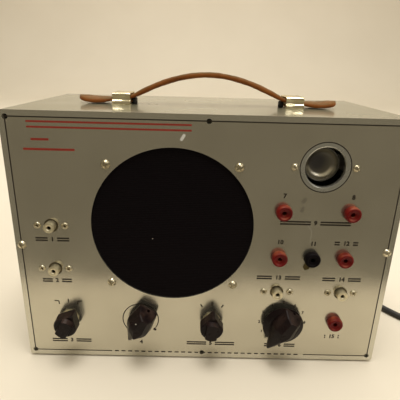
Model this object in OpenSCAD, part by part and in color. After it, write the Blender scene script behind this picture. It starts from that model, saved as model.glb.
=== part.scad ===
// Bench signal tracer in a folded sheet-steel case: panel, loudspeaker, tuning-eye tube,
// jacks, rotary controls, chassis, leather strap handle and mains lead.
// X runs to the right, Y to the back and Z up. The case stands on z = 0.

/* [Case] */
// Width of the case and of its front panel
case_w = 305; // [290:1:340]
// Height of the case above its feet
case_h = 214; // [208:1:250]
// Depth from the panel's face to the back cover's face
case_d = 154; // [146:1:200]
// Thickness of the case sheet
sheet_t = 1.2; // [0.8:0.1:1.6]
// Radius of the case's folded edges
case_r = 2.4; // [2:0.1:4]
// Width of the flanges that the panel and back cover screw to
flange_w = 12; // [10:0.5:13]
// Thickness of the feet
foot_t = 1.6; // [1:0.1:4]
// Diameter of the feet
foot_d = 15; // [10:0.5:20]
// Distance of the feet from the case's sides
foot_inset = 24; // [16:1:40]

/* [Front panel] */
// Thickness of the panel
panel_t = 1.6; // [1.2:0.1:2.2]
// Distance of the edge screws from the panel's edge
edge_screw_inset = 5; // [4.5:0.1:6]
// Diameter of the panel's edge screw holes
edge_hole_d = 4.2; // [3.8:0.1:4.4]
// Height of the two side screws that are fitted
side_screw_z = 107; // [95:1:115]
// Shank diameter of the edge and cover screws
edge_screw_d = 3.4; // [3:0.1:3.6]
// Head diameter of the edge and cover screws
edge_head_d = 7; // [6:0.1:7.4]
// Head height of the edge and cover screws
edge_head_h = 2.4; // [2:0.1:2.6]

/* [Loudspeaker] */
// Distance of the speaker's centre to the left of the panel's centre
speaker_left = 26.4; // [22:0.2:30]
// Height of the speaker's centre
speaker_z = 124.8; // [123:0.2:128]
// Diameter of the panel's speaker opening
speaker_opening_d = 128.8; // [120:0.2:130]
// Diameter of the basket's rim
basket_d = 152; // [151:0.2:153]
// Depth of the basket behind the panel
basket_depth = 39; // [34:1:44]
// Pitch of the four speaker screws, across and up
speaker_screw_pitch = 100.8; // [100:0.2:101.4]
// Thickness of the grille cloth
cloth_t = 0.6; // [0.4:0.1:0.9]
// Thickness of the basket's sheet
basket_t = 1.2; // [1:0.1:1.6]
// Number of windows in the basket
window_count = 8; // [4:1:10]
// Thickness of the paper cone
cone_t = 0.8; // [0.6:0.1:1]
// Diameter of the voice coil
coil_d = 20; // [18:0.5:22]
// Clearance round the voice coil and the cone's rim
coil_gap = 0.45; // [0.35:0.05:0.5]
// Diameter of the magnet pot
pot_d = 46; // [42:1:50]
// Length of the magnet pot
pot_len = 26; // [22:1:28]

/* [Tuning eye] */
// Distance of the eye to the right of the panel's centre
eye_right = 88.7; // [86:0.2:91]
// Height of the eye
eye_z = 176.7; // [174:0.2:179]
// Outer diameter of the eye's flush ring
eye_ring_d = 39.6; // [38:0.2:41]
// Gap round the flush ring
eye_ring_gap = 0.5; // [0.3:0.05:0.6]
// Diameter of the eye's window
eye_window_d = 30.6; // [30:0.2:32]
// Diameter of the eye tube's glass
eye_tube_d = 28.6; // [27:0.2:29]
// Length of the eye tube's glass
eye_tube_len = 78; // [70:1:84]
// Depth of the glass behind the panel's face
eye_recess = 8; // [6:0.5:10]
// Pitch of the two eye screws
eye_screw_pitch = 46.6; // [45.8:0.2:48]

/* [Jacks] */
// Distance of the inner jack column from the loudspeaker's rim
jack_gap = 10.6; // [10.4:0.2:12]
// Pitch of the jack columns
jack_pitch = 26.6; // [25:0.2:27]
// Height of the upper row of tip jacks
upper_jack_z = 140.7; // [138:0.1:146]
// Height of the lower row of tip jacks
lower_jack_z = 101; // [97:0.1:105]
// Height of the single tip jack at the bottom
bottom_jack_z = 40; // [36:0.2:44]
// Head diameter of a tip jack
tip_head_d = 12.8; // [11:0.2:13.6]
// Head height of a tip jack
tip_head_h = 8; // [5:0.5:9]
// Bore of a tip jack
tip_bore_d = 4.1; // [3.6:0.1:4.4]
// Distance of the left phono jacks to the left of the panel's centre
phono_left = 122.4; // [120:0.2:124]
// Height of the upper left phono jack
phono_upper_z = 124.5; // [120:0.5:130]
// Height of the lower left phono jack
phono_lower_z = 86.3; // [80:0.5:90]
// Height of the two phono jacks on the right
phono_right_z = 68.9; // [66:0.2:72]
// Outer diameter of a phono jack's barrel
phono_d = 8.3; // [8:0.05:8.5]
// Length of the barrel in front of the panel
phono_out = 6; // [5:0.5:8]
// Pitch of a phono jack's two rivets
phono_rivet_pitch = 21.8; // [21:0.2:22.4]

/* [Controls] */
// Height of the row of controls
control_z = 38.7; // [37:0.1:41]
// Distance of the first control to the left of the panel's centre
control_left = 114.6; // [112:0.2:116]
// Pitch of the controls
control_pitch = 61; // [60:0.2:61.2]
// Diameter of the control shafts
shaft_d = 6.35; // [6:0.05:6.4]
// Radial running clearance of the shafts
shaft_fit = 0.06; // [0.03:0.01:0.09]
// Diameter of the threaded bushings
bushing_d = 9.4; // [9:0.1:10]
// Distance across the flats of the bushing nuts
nut_af = 12.7; // [12:0.1:14]
// Thickness of the bushing nuts
nut_t = 2.4; // [2:0.1:2.6]
// Gap between the panel and the underside of the knobs
knob_gap = 4; // [3.8:0.1:5]
// Height of the large knobs
bar_knob_h = 15; // [13:0.5:18]
// Height of the selector knobs
selector_knob_h = 14; // [11:0.5:15]
// Diameter of the selector knobs
selector_knob_d = 19.8; // [17:0.2:21]
// Reach of the selector knobs' pointers
selector_reach = 12.8; // [12:0.2:15]
// Reach of the gain knob's pointer
gain_reach = 19.6; // [18:0.2:21]
// Diameter of the attenuator knob's skirt
skirt_d = 34.6; // [31:0.2:36]
// Reach of the attenuator knob's pointer
attenuator_reach = 24.4; // [22:0.2:25]

/* [Chassis] */
// Height of the chassis deck above the case's underside
deck_z = 20; // [17:0.5:22]
// Depth of the chassis deck
deck_d = 132; // [128:1:134]
// Width of the chassis deck
deck_w = 262; // [256:1:264]
// Depth of the chassis edges below the deck
deck_edge = 9; // [6:0.5:12]
// Width of the power transformer's core
transformer_w = 66; // [56:1:68]
// Diameter of the filter capacitor
capacitor_d = 35; // [30:1:38]
// Height of the filter capacitor
capacitor_h = 76; // [60:1:84]
// Diameter of the receiving tubes' glass
tube_d = 29; // [26:1:30]
// Height of the receiving tubes above their sockets
tube_h = 74; // [66:1:80]

/* [Back cover] */
// Thickness of the back cover
cover_t = 1; // [0.8:0.1:1.4]
// Margin between the back cover and the case's edges
cover_margin = 4; // [3:0.5:6]
// Distance of the cover screws from the cover's edge
cover_screw_inset = 5; // [4:0.5:6]
// Length of a louvre
louvre_len = 84; // [60:1:96]
// Pitch of the louvres
louvre_pitch = 13; // [11:0.5:15]
// Number of louvres in each bank
louvre_rows = 7; // [3:1:8]
// Outer radius of a louvre's hood
louvre_r = 6; // [5:0.25:7]
// Distance that a louvre stands out of the cover
louvre_out = 3.2; // [2.4:0.1:4]

/* [Handle] */
// Width of the leather strap
strap_w = 20; // [17:0.5:22]
// Thickness of the leather strap
strap_t = 3; // [2.4:0.1:3.2]
// Width of the strap's paddle ends
paddle_w = 27; // [24:0.5:32]
// Distance of each loop's centre from the case's centre
loop_x = 73.4; // [70:0.2:76]
// Length of a loop along the strap
loop_len = 15; // [12:0.5:17]
// Height of a loop
loop_h = 9.8; // [9.6:0.1:12]
// Wall of a loop
loop_t = 1.2; // [1:0.1:1.3]
// Distance of the strap's centre behind the panel's face
strap_back = 66; // [50:1:90]
// Height of the strap's highest point above the case
strap_rise = 27.3; // [26:0.1:32]

/* [Mains lead] */
// Diameter of the mains lead
lead_d = 6; // [5:0.1:6.5]
// Diameter of the strain relief's flange
relief_d = 17; // [15:0.5:20]
// Distance that the strain relief stands out of the back cover
relief_out = 20; // [16:0.5:24]

/* [Hidden] */
$fn = 48;
overlap = 0.01;
// Depths: the part's origin lies midway between its foremost knob and its strain relief.
knob_front = knob_gap + max(bar_knob_h, selector_knob_h);
panel_y = (knob_front - case_d - relief_out) / 2;
back_y = panel_y + case_d;
case_y = panel_y + panel_t;
cover_y = back_y - cover_t;
top_z = foot_t + case_h;
mid_z = foot_t + case_h / 2;
// Where the controls, jacks and speaker are on the panel, above the floor.
control_x = [for (i = [0 : 3]) -control_left + i * control_pitch];
control_h = foot_t + control_z;
jack_col = basket_d / 2 - speaker_left + jack_gap;
tip_places = [
    [jack_col, foot_t + upper_jack_z], [jack_col + 2 * jack_pitch, foot_t + upper_jack_z],
    [jack_col, foot_t + lower_jack_z], [jack_col + jack_pitch, foot_t + lower_jack_z],
    [jack_col + 2 * jack_pitch, foot_t + lower_jack_z], [jack_col + 2 * jack_pitch, foot_t + bottom_jack_z]
];
ground_jack = 3;
phono_places = [
    [-phono_left, foot_t + phono_upper_z], [-phono_left, foot_t + phono_lower_z],
    [jack_col + 1, foot_t + phono_right_z], [jack_col + 2 * jack_pitch + 1.6, foot_t + phono_right_z]
];
speaker_place = [-speaker_left, foot_t + speaker_z];
speaker_screw_places = [for (sx = [-0.5, 0.5], sz = [-0.5, 0.5])
    speaker_place + speaker_screw_pitch * [sx, sz]];
eye_place = [eye_right, foot_t + eye_z];
eye_screw_places = [for (s = [-0.5, 0.5]) eye_place + [s * eye_screw_pitch, 0]];
// Screws round the panel: two are fitted at the sides, the other six holes are open.
edge_x = case_w / 2 - edge_screw_inset;
edge_z = case_h / 2 - edge_screw_inset;
side_screws = [for (s = [-1, 1]) [s * edge_x, foot_t + side_screw_z]];
open_holes = [for (x = [-edge_x, 0, edge_x], s = [-1, 1]) [x, mid_z + s * edge_z]];
// Screws round the back cover.
cover_w = case_w - 2 * cover_margin;
cover_h = case_h - 2 * cover_margin;
cover_x = cover_w / 2 - cover_screw_inset;
cover_z = cover_h / 2 - cover_screw_inset;
cover_screw_places = [for (x = [-cover_x, cover_x], z = [-cover_z, 0, cover_z]) [x, mid_z + z]];
thread_clear = 0.05;
// Phono jack parts.
barrel_gap = 1.5;
phono_wall = 0.6;
phono_flange_t = 0.8;
wafer_t = 1.6;
rivet_d = 3;
rivet_head_d = 5.6;
rivet_clear = 0.02;
// Tip jack parts.
tip_neck_d = 8;
tip_neck_clear = 0.15;
tip_seat = 0.6;
tip_back = 11;
tip_dish = 1.4;
tip_washer_t = 2;
tip_nut_t = 2.4;
lug_t = 0.5;
// Speaker parts, measured back from the panel's rear face.
rim_start = cloth_t;
cone_front = rim_start + basket_t + 1.8;
opening_r = speaker_opening_d / 2;
throat_r = pot_d / 2 + 2;
cone_edge_r = opening_r - coil_gap - 0.2;
coil_r = coil_d / 2;
plate_t = 5;
pole_r = coil_r - 0.5 - coil_gap;
cone_stroke = 1.5;
screw_shank_d = 3.5;
screw_head_d = 7.2;
screw_head_h = 2.4;
speaker_nut_af = 7.6;
speaker_nut_t = 2.8;
// Controls.
bushing_out = nut_t + 1.2;
pot_body_d = 24;
pot_body_len = 14;
switch_d = 30;
switch_t = 2;
switch_len = 26;
knob_wall = 2.6;
selector_rest = 30;
function_rest = 6;
end_rest = -150;
apron_top = foot_t + control_z + 8;
apron_right = control_x[3] + 18;
deck_top = foot_t + deck_z + sheet_t;
socket_t = 5;
socket_d = tube_d + 6;
transformer_left = 8;
transformer_back = 74;
output_transformer_back = 40;
part_gap = 2;
capacitor_flange_d = capacitor_d + 8;
capacitor_x = -deck_w / 2 + transformer_left + transformer_w + part_gap + capacitor_flange_d / 2;
tube_x = [for (i = [0 : 2])
    capacitor_x + capacitor_flange_d / 2 + part_gap + socket_d / 2 + i * (socket_d + 3 * part_gap)];
tube_row = 100;
tube_y = case_y + tube_row;
// Handle: knots of the strap's centre line as [distance, height above the case, slope].
strap_y = panel_y + strap_back;
strap_knots = [
    [0, strap_rise - strap_t / 2, 0], [loop_x - 15.4, 10, -0.5], [loop_x - loop_len / 2, 6.3, -0.3],
    [loop_x + loop_len / 2, 3.4, -0.12], [loop_x + 21, 2.1, 0], [loop_x + 38, 5, 0.28]
];
loop_inner_h = loop_h - 2 * loop_t;
loop_side_clear = 1.3;
pad_len = 4;
pad_gap = 0.3;
// Route of the mains lead: from the strain relief round the case's right side to the coil.
lead_route = [
    [112, 80, 32], [112, 90, 32], [112, 100, 32], [112.5, 110, 31], [115, 120, 27.5], [121, 129, 21],
    [130, 136, 14], [141, 139.5, 8], [153, 139, 4], [164, 134, 3], [172, 126, 3], [177, 116, 3],
    [179, 104, 3], [180, 84, 3], [182, 63, 3], [185, 42, 3], [190, 22, 3], [198, 3, 3],
    [207, -9, 3], [215, -20, 3], [220, -34, 3], [221, -50, 3]
];
lead_exit = [lead_route[0][0], lead_route[0][2]];
coil_centre = [266, -50];
coil_in = 22.5;
coil_out = 48;
coil_h = 12;
tail_route = [
    [311, -50, 9], [311, -40, 7.5], [309.5, -30, 5], [306, -20, 3.4], [301, -10, 3.6], [296.5, -2, 6],
    [292, 5.5, 9]
];
plug_turn = 121;
plug_len = 32;
plug_w = 25;
plug_h = 18;
plug_blade_pitch = 12.7;

// Hermite curve between two knots.
function blend_knots(a, b, x) = let (s = b[0] - a[0], t = (x - a[0]) / s)
    (2 * t ^ 3 - 3 * t ^ 2 + 1) * a[1] + (t ^ 3 - 2 * t ^ 2 + t) * s * a[2]
    + (3 * t ^ 2 - 2 * t ^ 3) * b[1] + (t ^ 3 - t ^ 2) * s * b[2];
// Height of the strap's centre line above the case at a distance from the middle.
function strap_height(x) = let (k = strap_knots, i = max([for (j = [0 : len(k) - 2]) x >= k[j][0] ? j : 0]))
    blend_knots(k[i], k[i + 1], x);
// Points of a circular arc.
function arc(r, from, to, steps) = [for (i = [0 : steps])
    let (a = from + (to - from) * i / steps) [r * cos(a), r * sin(a)]];

// Places children on the panel's face: local x right, local y up, local z out of the panel.
module on_panel(place) translate([place[0], panel_y, place[1]]) rotate([90, 0, 0]) children();
// Places children behind the panel: local z runs back from the panel's rear face.
module behind_panel(place) translate([place[0], case_y, place[1]]) rotate([-90, 0, 0]) children();
// Places children on the back cover's face: local z out of the cover.
module on_back(place) translate([place[0], back_y, place[1]]) rotate([-90, 0, 0]) children();
// A hollow cylinder.
module tube(outer_d, inner_d, h) {
    difference() {
        cylinder(d = outer_d, h = h);
        translate([0, 0, -1]) cylinder(d = inner_d, h = h + 2);
    }
}
// A rectangle with round corners, centred.
module round_rect(w, h, r) {
    square([w - 2 * r, h], center = true);
    square([w, h - 2 * r], center = true);
    for (x = [-1, 1], y = [-1, 1]) translate([x * (w / 2 - r), y * (h / 2 - r)]) circle(r);
}
// A slab in the panel's plane, its front face at depth y and its centre at height z.
module upright_slab(w, h, r, y, t, z) {
    translate([0, y + t, z]) rotate([90, 0, 0]) linear_extrude(t) round_rect(w, h, r);
}
// A round-headed screw: head on z = 0, shank below, one slot or a cross.
module round_screw(head_d, head_h, d, len, slots) {
    cap_r = (head_d ^ 2 / 4 + head_h ^ 2) / (2 * head_h);
    difference() {
        intersection() {
            translate([0, 0, head_h - cap_r]) sphere(cap_r);
            cylinder(d = head_d, h = head_h);
        }
        for (i = [1 : slots]) rotate([0, 0, 25 + 90 * i])
            translate([0, 0, head_h]) cube([head_d, head_d * 0.13, head_h], center = true);
    }
    translate([0, 0, -len]) cylinder(d = d, h = len);
}
// A hexagonal nut.
module hex_nut(af, bore, t) {
    difference() {
        cylinder(d = af / cos(30), h = t, $fn = 6);
        translate([0, 0, -1]) cylinder(d = bore, h = t + 2);
    }
}

module cabinet() {
    h_mid = (case_y + cover_y) / 2;
    depth = cover_y - case_y;
    color([0.62, 0.58, 0.47]) difference() {
        upright_slab(case_w, case_h, case_r, case_y, depth, mid_z);
        upright_slab(case_w - 2 * sheet_t, case_h - 2 * sheet_t, case_r - sheet_t,
            case_y + sheet_t, depth - 2 * sheet_t, mid_z);
        translate([0, h_mid, mid_z])
            cube([case_w - 2 * flange_w, depth + 2, case_h - 2 * flange_w], center = true);
        for (p = concat(side_screws, open_holes)) behind_panel(p)
            translate([0, 0, -1]) cylinder(d = edge_screw_d + 2 * thread_clear, h = sheet_t + 2);
        for (p = cover_screw_places) on_back(p) translate([0, 0, -cover_t - sheet_t - 1])
            cylinder(d = edge_screw_d + 2 * thread_clear, h = sheet_t + 2);
        for (s = [-1, 1]) translate([s * loop_x, strap_y, top_z - sheet_t - 1])
            cylinder(d = rivet_d, h = sheet_t + 2);
    }
}

module front_panel() {
    color([0.44, 0.41, 0.33]) difference() {
        upright_slab(case_w, case_h, case_r, panel_y, panel_t, mid_z);
        on_panel(speaker_place) panel_hole(speaker_opening_d);
        for (p = speaker_screw_places) on_panel(p) panel_hole(screw_shank_d + 0.4);
        on_panel(eye_place) panel_hole(eye_ring_d + 2 * eye_ring_gap);
        for (p = eye_screw_places) on_panel(p) panel_hole(rivet_d + 0.4);
        for (x = control_x) on_panel([x, control_h]) panel_hole(bushing_d + 2 * thread_clear);
        for (p = phono_places) on_panel(p) {
            panel_hole(phono_d + 2 * barrel_gap);
            for (s = [-0.5, 0.5]) translate([s * phono_rivet_pitch, 0]) panel_hole(rivet_d);
        }
        for (p = tip_places) on_panel(p) panel_hole(tip_neck_d + 2 * tip_neck_clear);
        for (p = concat(side_screws, open_holes)) on_panel(p) panel_hole(edge_hole_d);
    }
}
// A drill through the panel.
module panel_hole(d) translate([0, 0, -panel_t - 1]) cylinder(d = d, h = panel_t + 2);

// Two screws in the panel's sides and six round the back cover.
module case_screws() {
    color([0.75, 0.72, 0.62]) {
        for (p = side_screws) on_panel(p)
            round_screw(edge_head_d, edge_head_h, edge_screw_d, panel_t + sheet_t + 3, 1);
        for (p = cover_screw_places) on_back(p)
            round_screw(edge_head_d, edge_head_h, edge_screw_d, cover_t + sheet_t + 3, 1);
    }
}

module feet() {
    color([0.08, 0.08, 0.08]) for (x = [-1, 1], y = [case_y + foot_inset, cover_y - foot_inset])
        translate([x * (case_w / 2 - foot_inset), y, 0]) cylinder(d1 = foot_d - 1, d2 = foot_d, h = foot_t);
}

// One pressed louvre, its slit along local y = 0: the hood is a quarter of a capsule.
module louvre_body(r) {
    rotate([0, 90, 0]) cylinder(r = r, h = louvre_len - 2 * louvre_r, center = true);
    for (s = [-1, 1]) translate([s * (louvre_len / 2 - louvre_r), 0, 0]) sphere(r);
}
louvre_places = [for (s = [-1, 1], i = [0 : louvre_rows - 1])
    [s * case_w / 5.2, mid_z + 14 + (i - (louvre_rows - 1) / 2) * louvre_pitch]];
module back_cover() {
    sink = louvre_r - louvre_out;
    color([0.60, 0.56, 0.46]) {
        difference() {
            union() {
                upright_slab(cover_w, cover_h, case_r, cover_y, cover_t, mid_z);
                for (p = louvre_places) on_back(p) intersection() {
                    translate([0, 0, -sink]) louvre_body(louvre_r);
                    translate([-louvre_len / 2, -louvre_r, -cover_t]) cube([louvre_len, louvre_r, louvre_r + 2]);
                }
            }
            for (p = louvre_places) on_back(p) intersection() {
                translate([0, 0, -sink]) louvre_body(louvre_r - cover_t);
                translate([-louvre_len / 2, -louvre_r, -2 * louvre_r]) cube([louvre_len, louvre_r + overlap, 3 * louvre_r]);
            }
            for (p = cover_screw_places) on_back(p)
                translate([0, 0, -cover_t - 1]) cylinder(d = edge_screw_d + 0.6, h = cover_t + 2);
            on_back(lead_exit)
                translate([0, 0, -cover_t - 1]) cylinder(d = relief_d - 4, h = cover_t + 2);
        }
    }
}

module chassis() {
    apron_left = deck_w / 2;
    deck_back = case_y + deck_d;
    color([0.66, 0.66, 0.62]) difference() {
        union() {
            translate([-apron_left, case_y, foot_t + deck_z])
                cube([apron_left + apron_right, sheet_t, apron_top - foot_t - deck_z]);
            translate([-deck_w / 2, case_y, foot_t + deck_z]) cube([deck_w, deck_d, sheet_t]);
            for (x = [-deck_w / 2, deck_w / 2 - sheet_t])
                translate([x, case_y + sheet_t, foot_t + deck_z - deck_edge]) cube([sheet_t, deck_d - sheet_t, deck_edge + overlap]);
            translate([-deck_w / 2, deck_back - sheet_t, foot_t + deck_z - deck_edge])
                cube([deck_w, sheet_t, deck_edge + overlap]);
        }
        for (x = control_x) behind_panel([x, control_h])
            translate([0, 0, -1]) cylinder(d = bushing_d + 2 * thread_clear, h = sheet_t + 2);
        for (x = tube_x) translate([x, tube_y, foot_t + deck_z - 1]) cylinder(d = tube_d - 3, h = sheet_t + 2);
    }
}

module grille_cloth() {
    cloth_r = (speaker_screw_pitch * sqrt(2) - screw_shank_d) / 2 - 0.6;
    color([0.05, 0.05, 0.05]) behind_panel(speaker_place) cylinder(r = cloth_r, h = cloth_t);
}

// Pressed basket: a flat rim, a short wall, a conical wall with windows, and the seat of the magnet.
module speaker_basket() {
    wall = cone_front + 3;
    profile = [
        [opening_r, rim_start], [basket_d / 2, rim_start], [basket_d / 2, rim_start + basket_t],
        [opening_r + basket_t, rim_start + basket_t], [opening_r + basket_t, wall],
        [throat_r + basket_t, basket_depth], [throat_r + basket_t - 1, basket_depth + basket_t],
        [coil_r + 3, basket_depth + basket_t], [coil_r + 3, basket_depth], [throat_r, basket_depth],
        [opening_r, wall]
    ];
    color([0.45, 0.45, 0.42]) behind_panel(speaker_place) difference() {
        rotate_extrude() polygon(profile);
        for (i = [0 : window_count - 1]) rotate([0, 0, 360 / window_count * (i + 0.5)]) basket_window(wall);
        for (i = [0 : 3]) rotate([0, 0, 45 + 90 * i]) translate([speaker_screw_pitch / sqrt(2), 0, 0])
            cylinder(d = screw_shank_d + 0.4, h = 4 * basket_t, center = true);
    }
}
// A wedge that cuts one window through the conical wall.
module basket_window(wall) {
    half = 180 / window_count - 6;
    inner = throat_r + 5;
    outer = opening_r - 3;
    translate([0, 0, wall]) linear_extrude(basket_depth - wall - 1) polygon([
        [inner * cos(half), inner * sin(half)], [inner * cos(half), -inner * sin(half)],
        [outer * cos(half), -outer * sin(half)], [outer, 0], [outer * cos(half), outer * sin(half)]
    ]);
}

module speaker_front_plate() {
    color([0.55, 0.54, 0.50]) behind_panel(speaker_place)
        translate([0, 0, basket_depth + basket_t]) tube(pot_d, 2 * (coil_r + coil_gap + 0.2), plate_t);
}

// Magnet pot with its pole piece.
module speaker_magnet() {
    start = basket_depth + basket_t + plate_t;
    pot_wall = 6;
    color([0.35, 0.35, 0.34]) behind_panel(speaker_place) rotate_extrude() polygon([
        [0, start - plate_t + 0.5], [pole_r, start - plate_t + 0.5], [pole_r, start + pot_len - pot_wall],
        [pot_d / 2 - pot_wall, start + pot_len - pot_wall], [pot_d / 2 - pot_wall, start], [pot_d / 2, start],
        [pot_d / 2, start + pot_len - 2], [pot_d / 2 - 2, start + pot_len], [0, start + pot_len]
    ]);
}

module speaker_screws() {
    len = panel_t + cloth_t + basket_t + speaker_nut_t + 1.5;
    color([0.72, 0.70, 0.62]) for (p = speaker_screw_places) on_panel(p)
        round_screw(screw_head_d, screw_head_h, screw_shank_d, len, 2);
}
module speaker_nuts() {
    color([0.70, 0.68, 0.60]) for (p = speaker_screw_places) behind_panel(p)
        translate([0, 0, rim_start + basket_t]) hex_nut(speaker_nut_af, screw_shank_d + 2 * thread_clear, speaker_nut_t);
}

// Paper cone: a corrugated surround, then a straight-sided cone down to the voice coil.
module speaker_cone() {
    surround_w = 8;
    roll = 1.1;
    surround = [for (i = [0 : 16]) [cone_edge_r - surround_w * i / 16, cone_front + roll * sin(i * 90)]];
    front = concat(surround, [[coil_r, basket_depth - 9]]);
    back = [for (i = [len(front) - 1 : -1 : 0]) front[i] + [0, cone_t]];
    color([0.16, 0.15, 0.14]) behind_panel(speaker_place) rotate_extrude() polygon(concat(front, back));
}
module speaker_dust_cap() {
    cap_r = coil_r - 0.5;
    seat = basket_depth - 9;
    sphere_r = 16;
    color([0.12, 0.12, 0.12]) behind_panel(speaker_place) translate([0, 0, seat]) intersection() {
        translate([0, 0, sphere_r - 3.6]) difference() {
            sphere(sphere_r);
            sphere(sphere_r - cone_t);
        }
        translate([0, 0, -6]) cylinder(r = cap_r, h = 6 + cone_t);
    }
}
module voice_coil() {
    seat = basket_depth - 9 + cone_t;
    color([0.55, 0.33, 0.16]) behind_panel(speaker_place)
        translate([0, 0, seat]) tube(coil_d, coil_d - 1, basket_depth + basket_t + plate_t + 3 - seat);
}

// Ring flush with the panel's face, on a plate behind the panel, with its inner lip rolled back.
module eye_ring() {
    plate_h = eye_ring_d + 6;
    plate_w = eye_screw_pitch + 12;
    lip = 1.8;
    color([0.46, 0.43, 0.36]) on_panel(eye_place) {
        rotate_extrude() polygon([
            [eye_window_d / 2, -panel_t - lip], [eye_window_d / 2 + 1, -panel_t - lip],
            [eye_window_d / 2 + 1, -panel_t], [eye_ring_d / 2, -panel_t], [eye_ring_d / 2, 0],
            [eye_window_d / 2 + 1, 0], [eye_window_d / 2 + 0.3, -0.3], [eye_window_d / 2, -1]
        ]);
        translate([0, 0, -panel_t - 1]) linear_extrude(1) difference() {
            round_rect(plate_w, plate_h, 5);
            circle(d = eye_window_d + 1);
            for (s = [-0.5, 0.5]) translate([s * eye_screw_pitch, 0]) circle(d = rivet_d + 0.4);
        }
    }
}
module eye_screws() {
    color([0.75, 0.72, 0.62]) for (p = eye_screw_places) on_panel(p)
        round_screw(rivet_head_d, 2.2, rivet_d, panel_t + 6, 1);
}
// Two arms from the eye's screws carry a clamp ring round the tube.
module eye_bracket() {
    start = 1;
    arm_len = 34;
    arm_w = 11;
    clamp_w = 12;
    clamp_r = eye_tube_d / 2 + 0.2;
    arm_in = eye_window_d / 2 + 2.5;
    color([0.62, 0.61, 0.56]) behind_panel(eye_place) translate([0, 0, start]) difference() {
        union() {
            for (s = [-1, 1]) {
                translate([s * arm_in - (s < 0 ? 1.2 : 0), -arm_w / 2, 0]) cube([1.2, arm_w, arm_len]);
                translate([s > 0 ? arm_in : -eye_screw_pitch / 2 - 5, -arm_w / 2, 0])
                    cube([eye_screw_pitch / 2 + 5 - arm_in, arm_w, 1.2]);
                translate([s > 0 ? clamp_r : -arm_in - 0.6, -arm_w / 2, arm_len - clamp_w])
                    cube([arm_in + 0.6 - clamp_r, arm_w, clamp_w]);
            }
            translate([0, 0, arm_len - clamp_w]) cylinder(r = clamp_r + 1.2, h = clamp_w);
        }
        translate([0, 0, -1]) cylinder(r = clamp_r, h = arm_len + 2);
        for (s = [-0.5, 0.5]) translate([s * eye_screw_pitch, 0, -1]) cylinder(d = rivet_d + 2 * thread_clear, h = 4);
    }
}
module eye_tube_glass() {
    r = eye_tube_d / 2;
    wall = 1.2;
    start = eye_recess - panel_t;
    corner = 6;
    dome = 1.2;
    outer = concat([[0, start - dome]], [for (i = [0 : 6]) [r - corner + corner * sin(15 * i), start + corner * (1 - cos(15 * i))]]);
    inner = [for (i = [6 : -1 : 0]) [r - corner + (corner - wall) * sin(15 * i), start + corner - (corner - wall) * cos(15 * i)]];
    color([0.75, 0.80, 0.78, 0.35]) behind_panel(eye_place) rotate_extrude() polygon(concat(
        outer, [[r, start + eye_tube_len - 4], [r - 4, start + eye_tube_len], [r - 4 - wall, start + eye_tube_len],
        [r - wall, start + eye_tube_len - 4 - wall]], inner, [[0, start - dome + wall]]));
}
// Moulded tube base with its socket shell behind it.
module eye_tube_base() {
    start = eye_recess - panel_t + eye_tube_len;
    color([0.12, 0.09, 0.07]) behind_panel(eye_place) rotate_extrude() polygon([
        [0, start], [eye_tube_d / 2 - 1, start], [eye_tube_d / 2 - 1, start + 9], [eye_tube_d / 2 + 2, start + 9],
        [eye_tube_d / 2 + 2, start + 14], [eye_tube_d / 2 - 2, start + 19], [0, start + 19]
    ]);
}

// Plan of the selector knob: round below, with straight sides that rise to the pointer's tip.
module pointer_outline(r, reach) {
    polygon(concat([for (a = [172:14:368]) r * [cos(a), sin(a)]], [[0.8, reach], [-0.8, reach]]));
}
// Selector knob: a pointer-shaped body with a grip bar across its front, bored from below.
module selector_knob() {
    r = selector_knob_d / 2;
    bar_w = 10.4;
    bar_h = 4;
    bevel_h = 1;
    draft = 0.97;
    bevel = 0.92;
    body_h = selector_knob_h - bar_h - bevel_h;
    color([0.11, 0.07, 0.05]) difference() {
        union() {
            linear_extrude(body_h, scale = draft, slices = 1) pointer_outline(r, selector_reach);
            translate([0, 0, body_h]) linear_extrude(bevel_h, scale = bevel, slices = 1)
                scale(draft) pointer_outline(r, selector_reach);
            translate([0, 0, body_h + bevel_h]) linear_extrude(bar_h, scale = [0.9, 0.84], slices = 1) intersection() {
                circle(r = r * draft * bevel, $fn = 40);
                square([bar_w, selector_knob_d], center = true);
            }
        }
        knob_bore(selector_knob_h);
    }
}
// Blind bore for the shaft, with the hole of the set screw.
module knob_bore(h) {
    translate([0, 0, -1]) cylinder(d = shaft_d + 2 * thread_clear, h = h - knob_wall + 1);
    translate([0, 0, 3.4]) rotate([90, 0, 0]) cylinder(d = 3, h = 2 * skirt_d);
}
// Bar knob: a drop-shaped base rises to a flat ridge that ends short of the pointer's tip.
module bar_knob(reach, skirt) {
    back = 16;
    ridge_reach = 7;
    skirt_h = 3.2;
    seat = skirt ? 1.6 : 0;
    color([0.11, 0.07, 0.05]) difference() {
        union() {
            if (skirt) {
                cylinder(d1 = skirt_d - 1, d2 = skirt_d, h = 1.2);
                translate([0, 0, 1.2]) cylinder(d1 = skirt_d, d2 = skirt_d - 8, h = skirt_h - 1.2);
            }
            hull() {
                translate([0, 0, seat]) linear_extrude(2.6) drop_outline(10.8, reach, back);
                translate([0, 0, bar_knob_h - 5]) linear_extrude(0.6) drop_outline(8.2, 0.6 * reach, back - 2.4);
                translate([0, 0, bar_knob_h - 0.6]) linear_extrude(0.6) drop_outline(3.6, ridge_reach, back - 4);
            }
        }
        knob_bore(bar_knob_h);
    }
}
// Plan of the bar knob: a round middle between a blunt back and a narrow tip.
module drop_outline(r, reach, back) {
    hull() {
        circle(r = r, $fn = 28);
        for (s = [-1, 1]) translate([s * (0.78 * r - 1.5), 1.5 - back]) circle(r = 1.5, $fn = 12);
        translate([0, reach - 1.2]) circle(r = 1.2, $fn = 12);
    }
}
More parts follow.
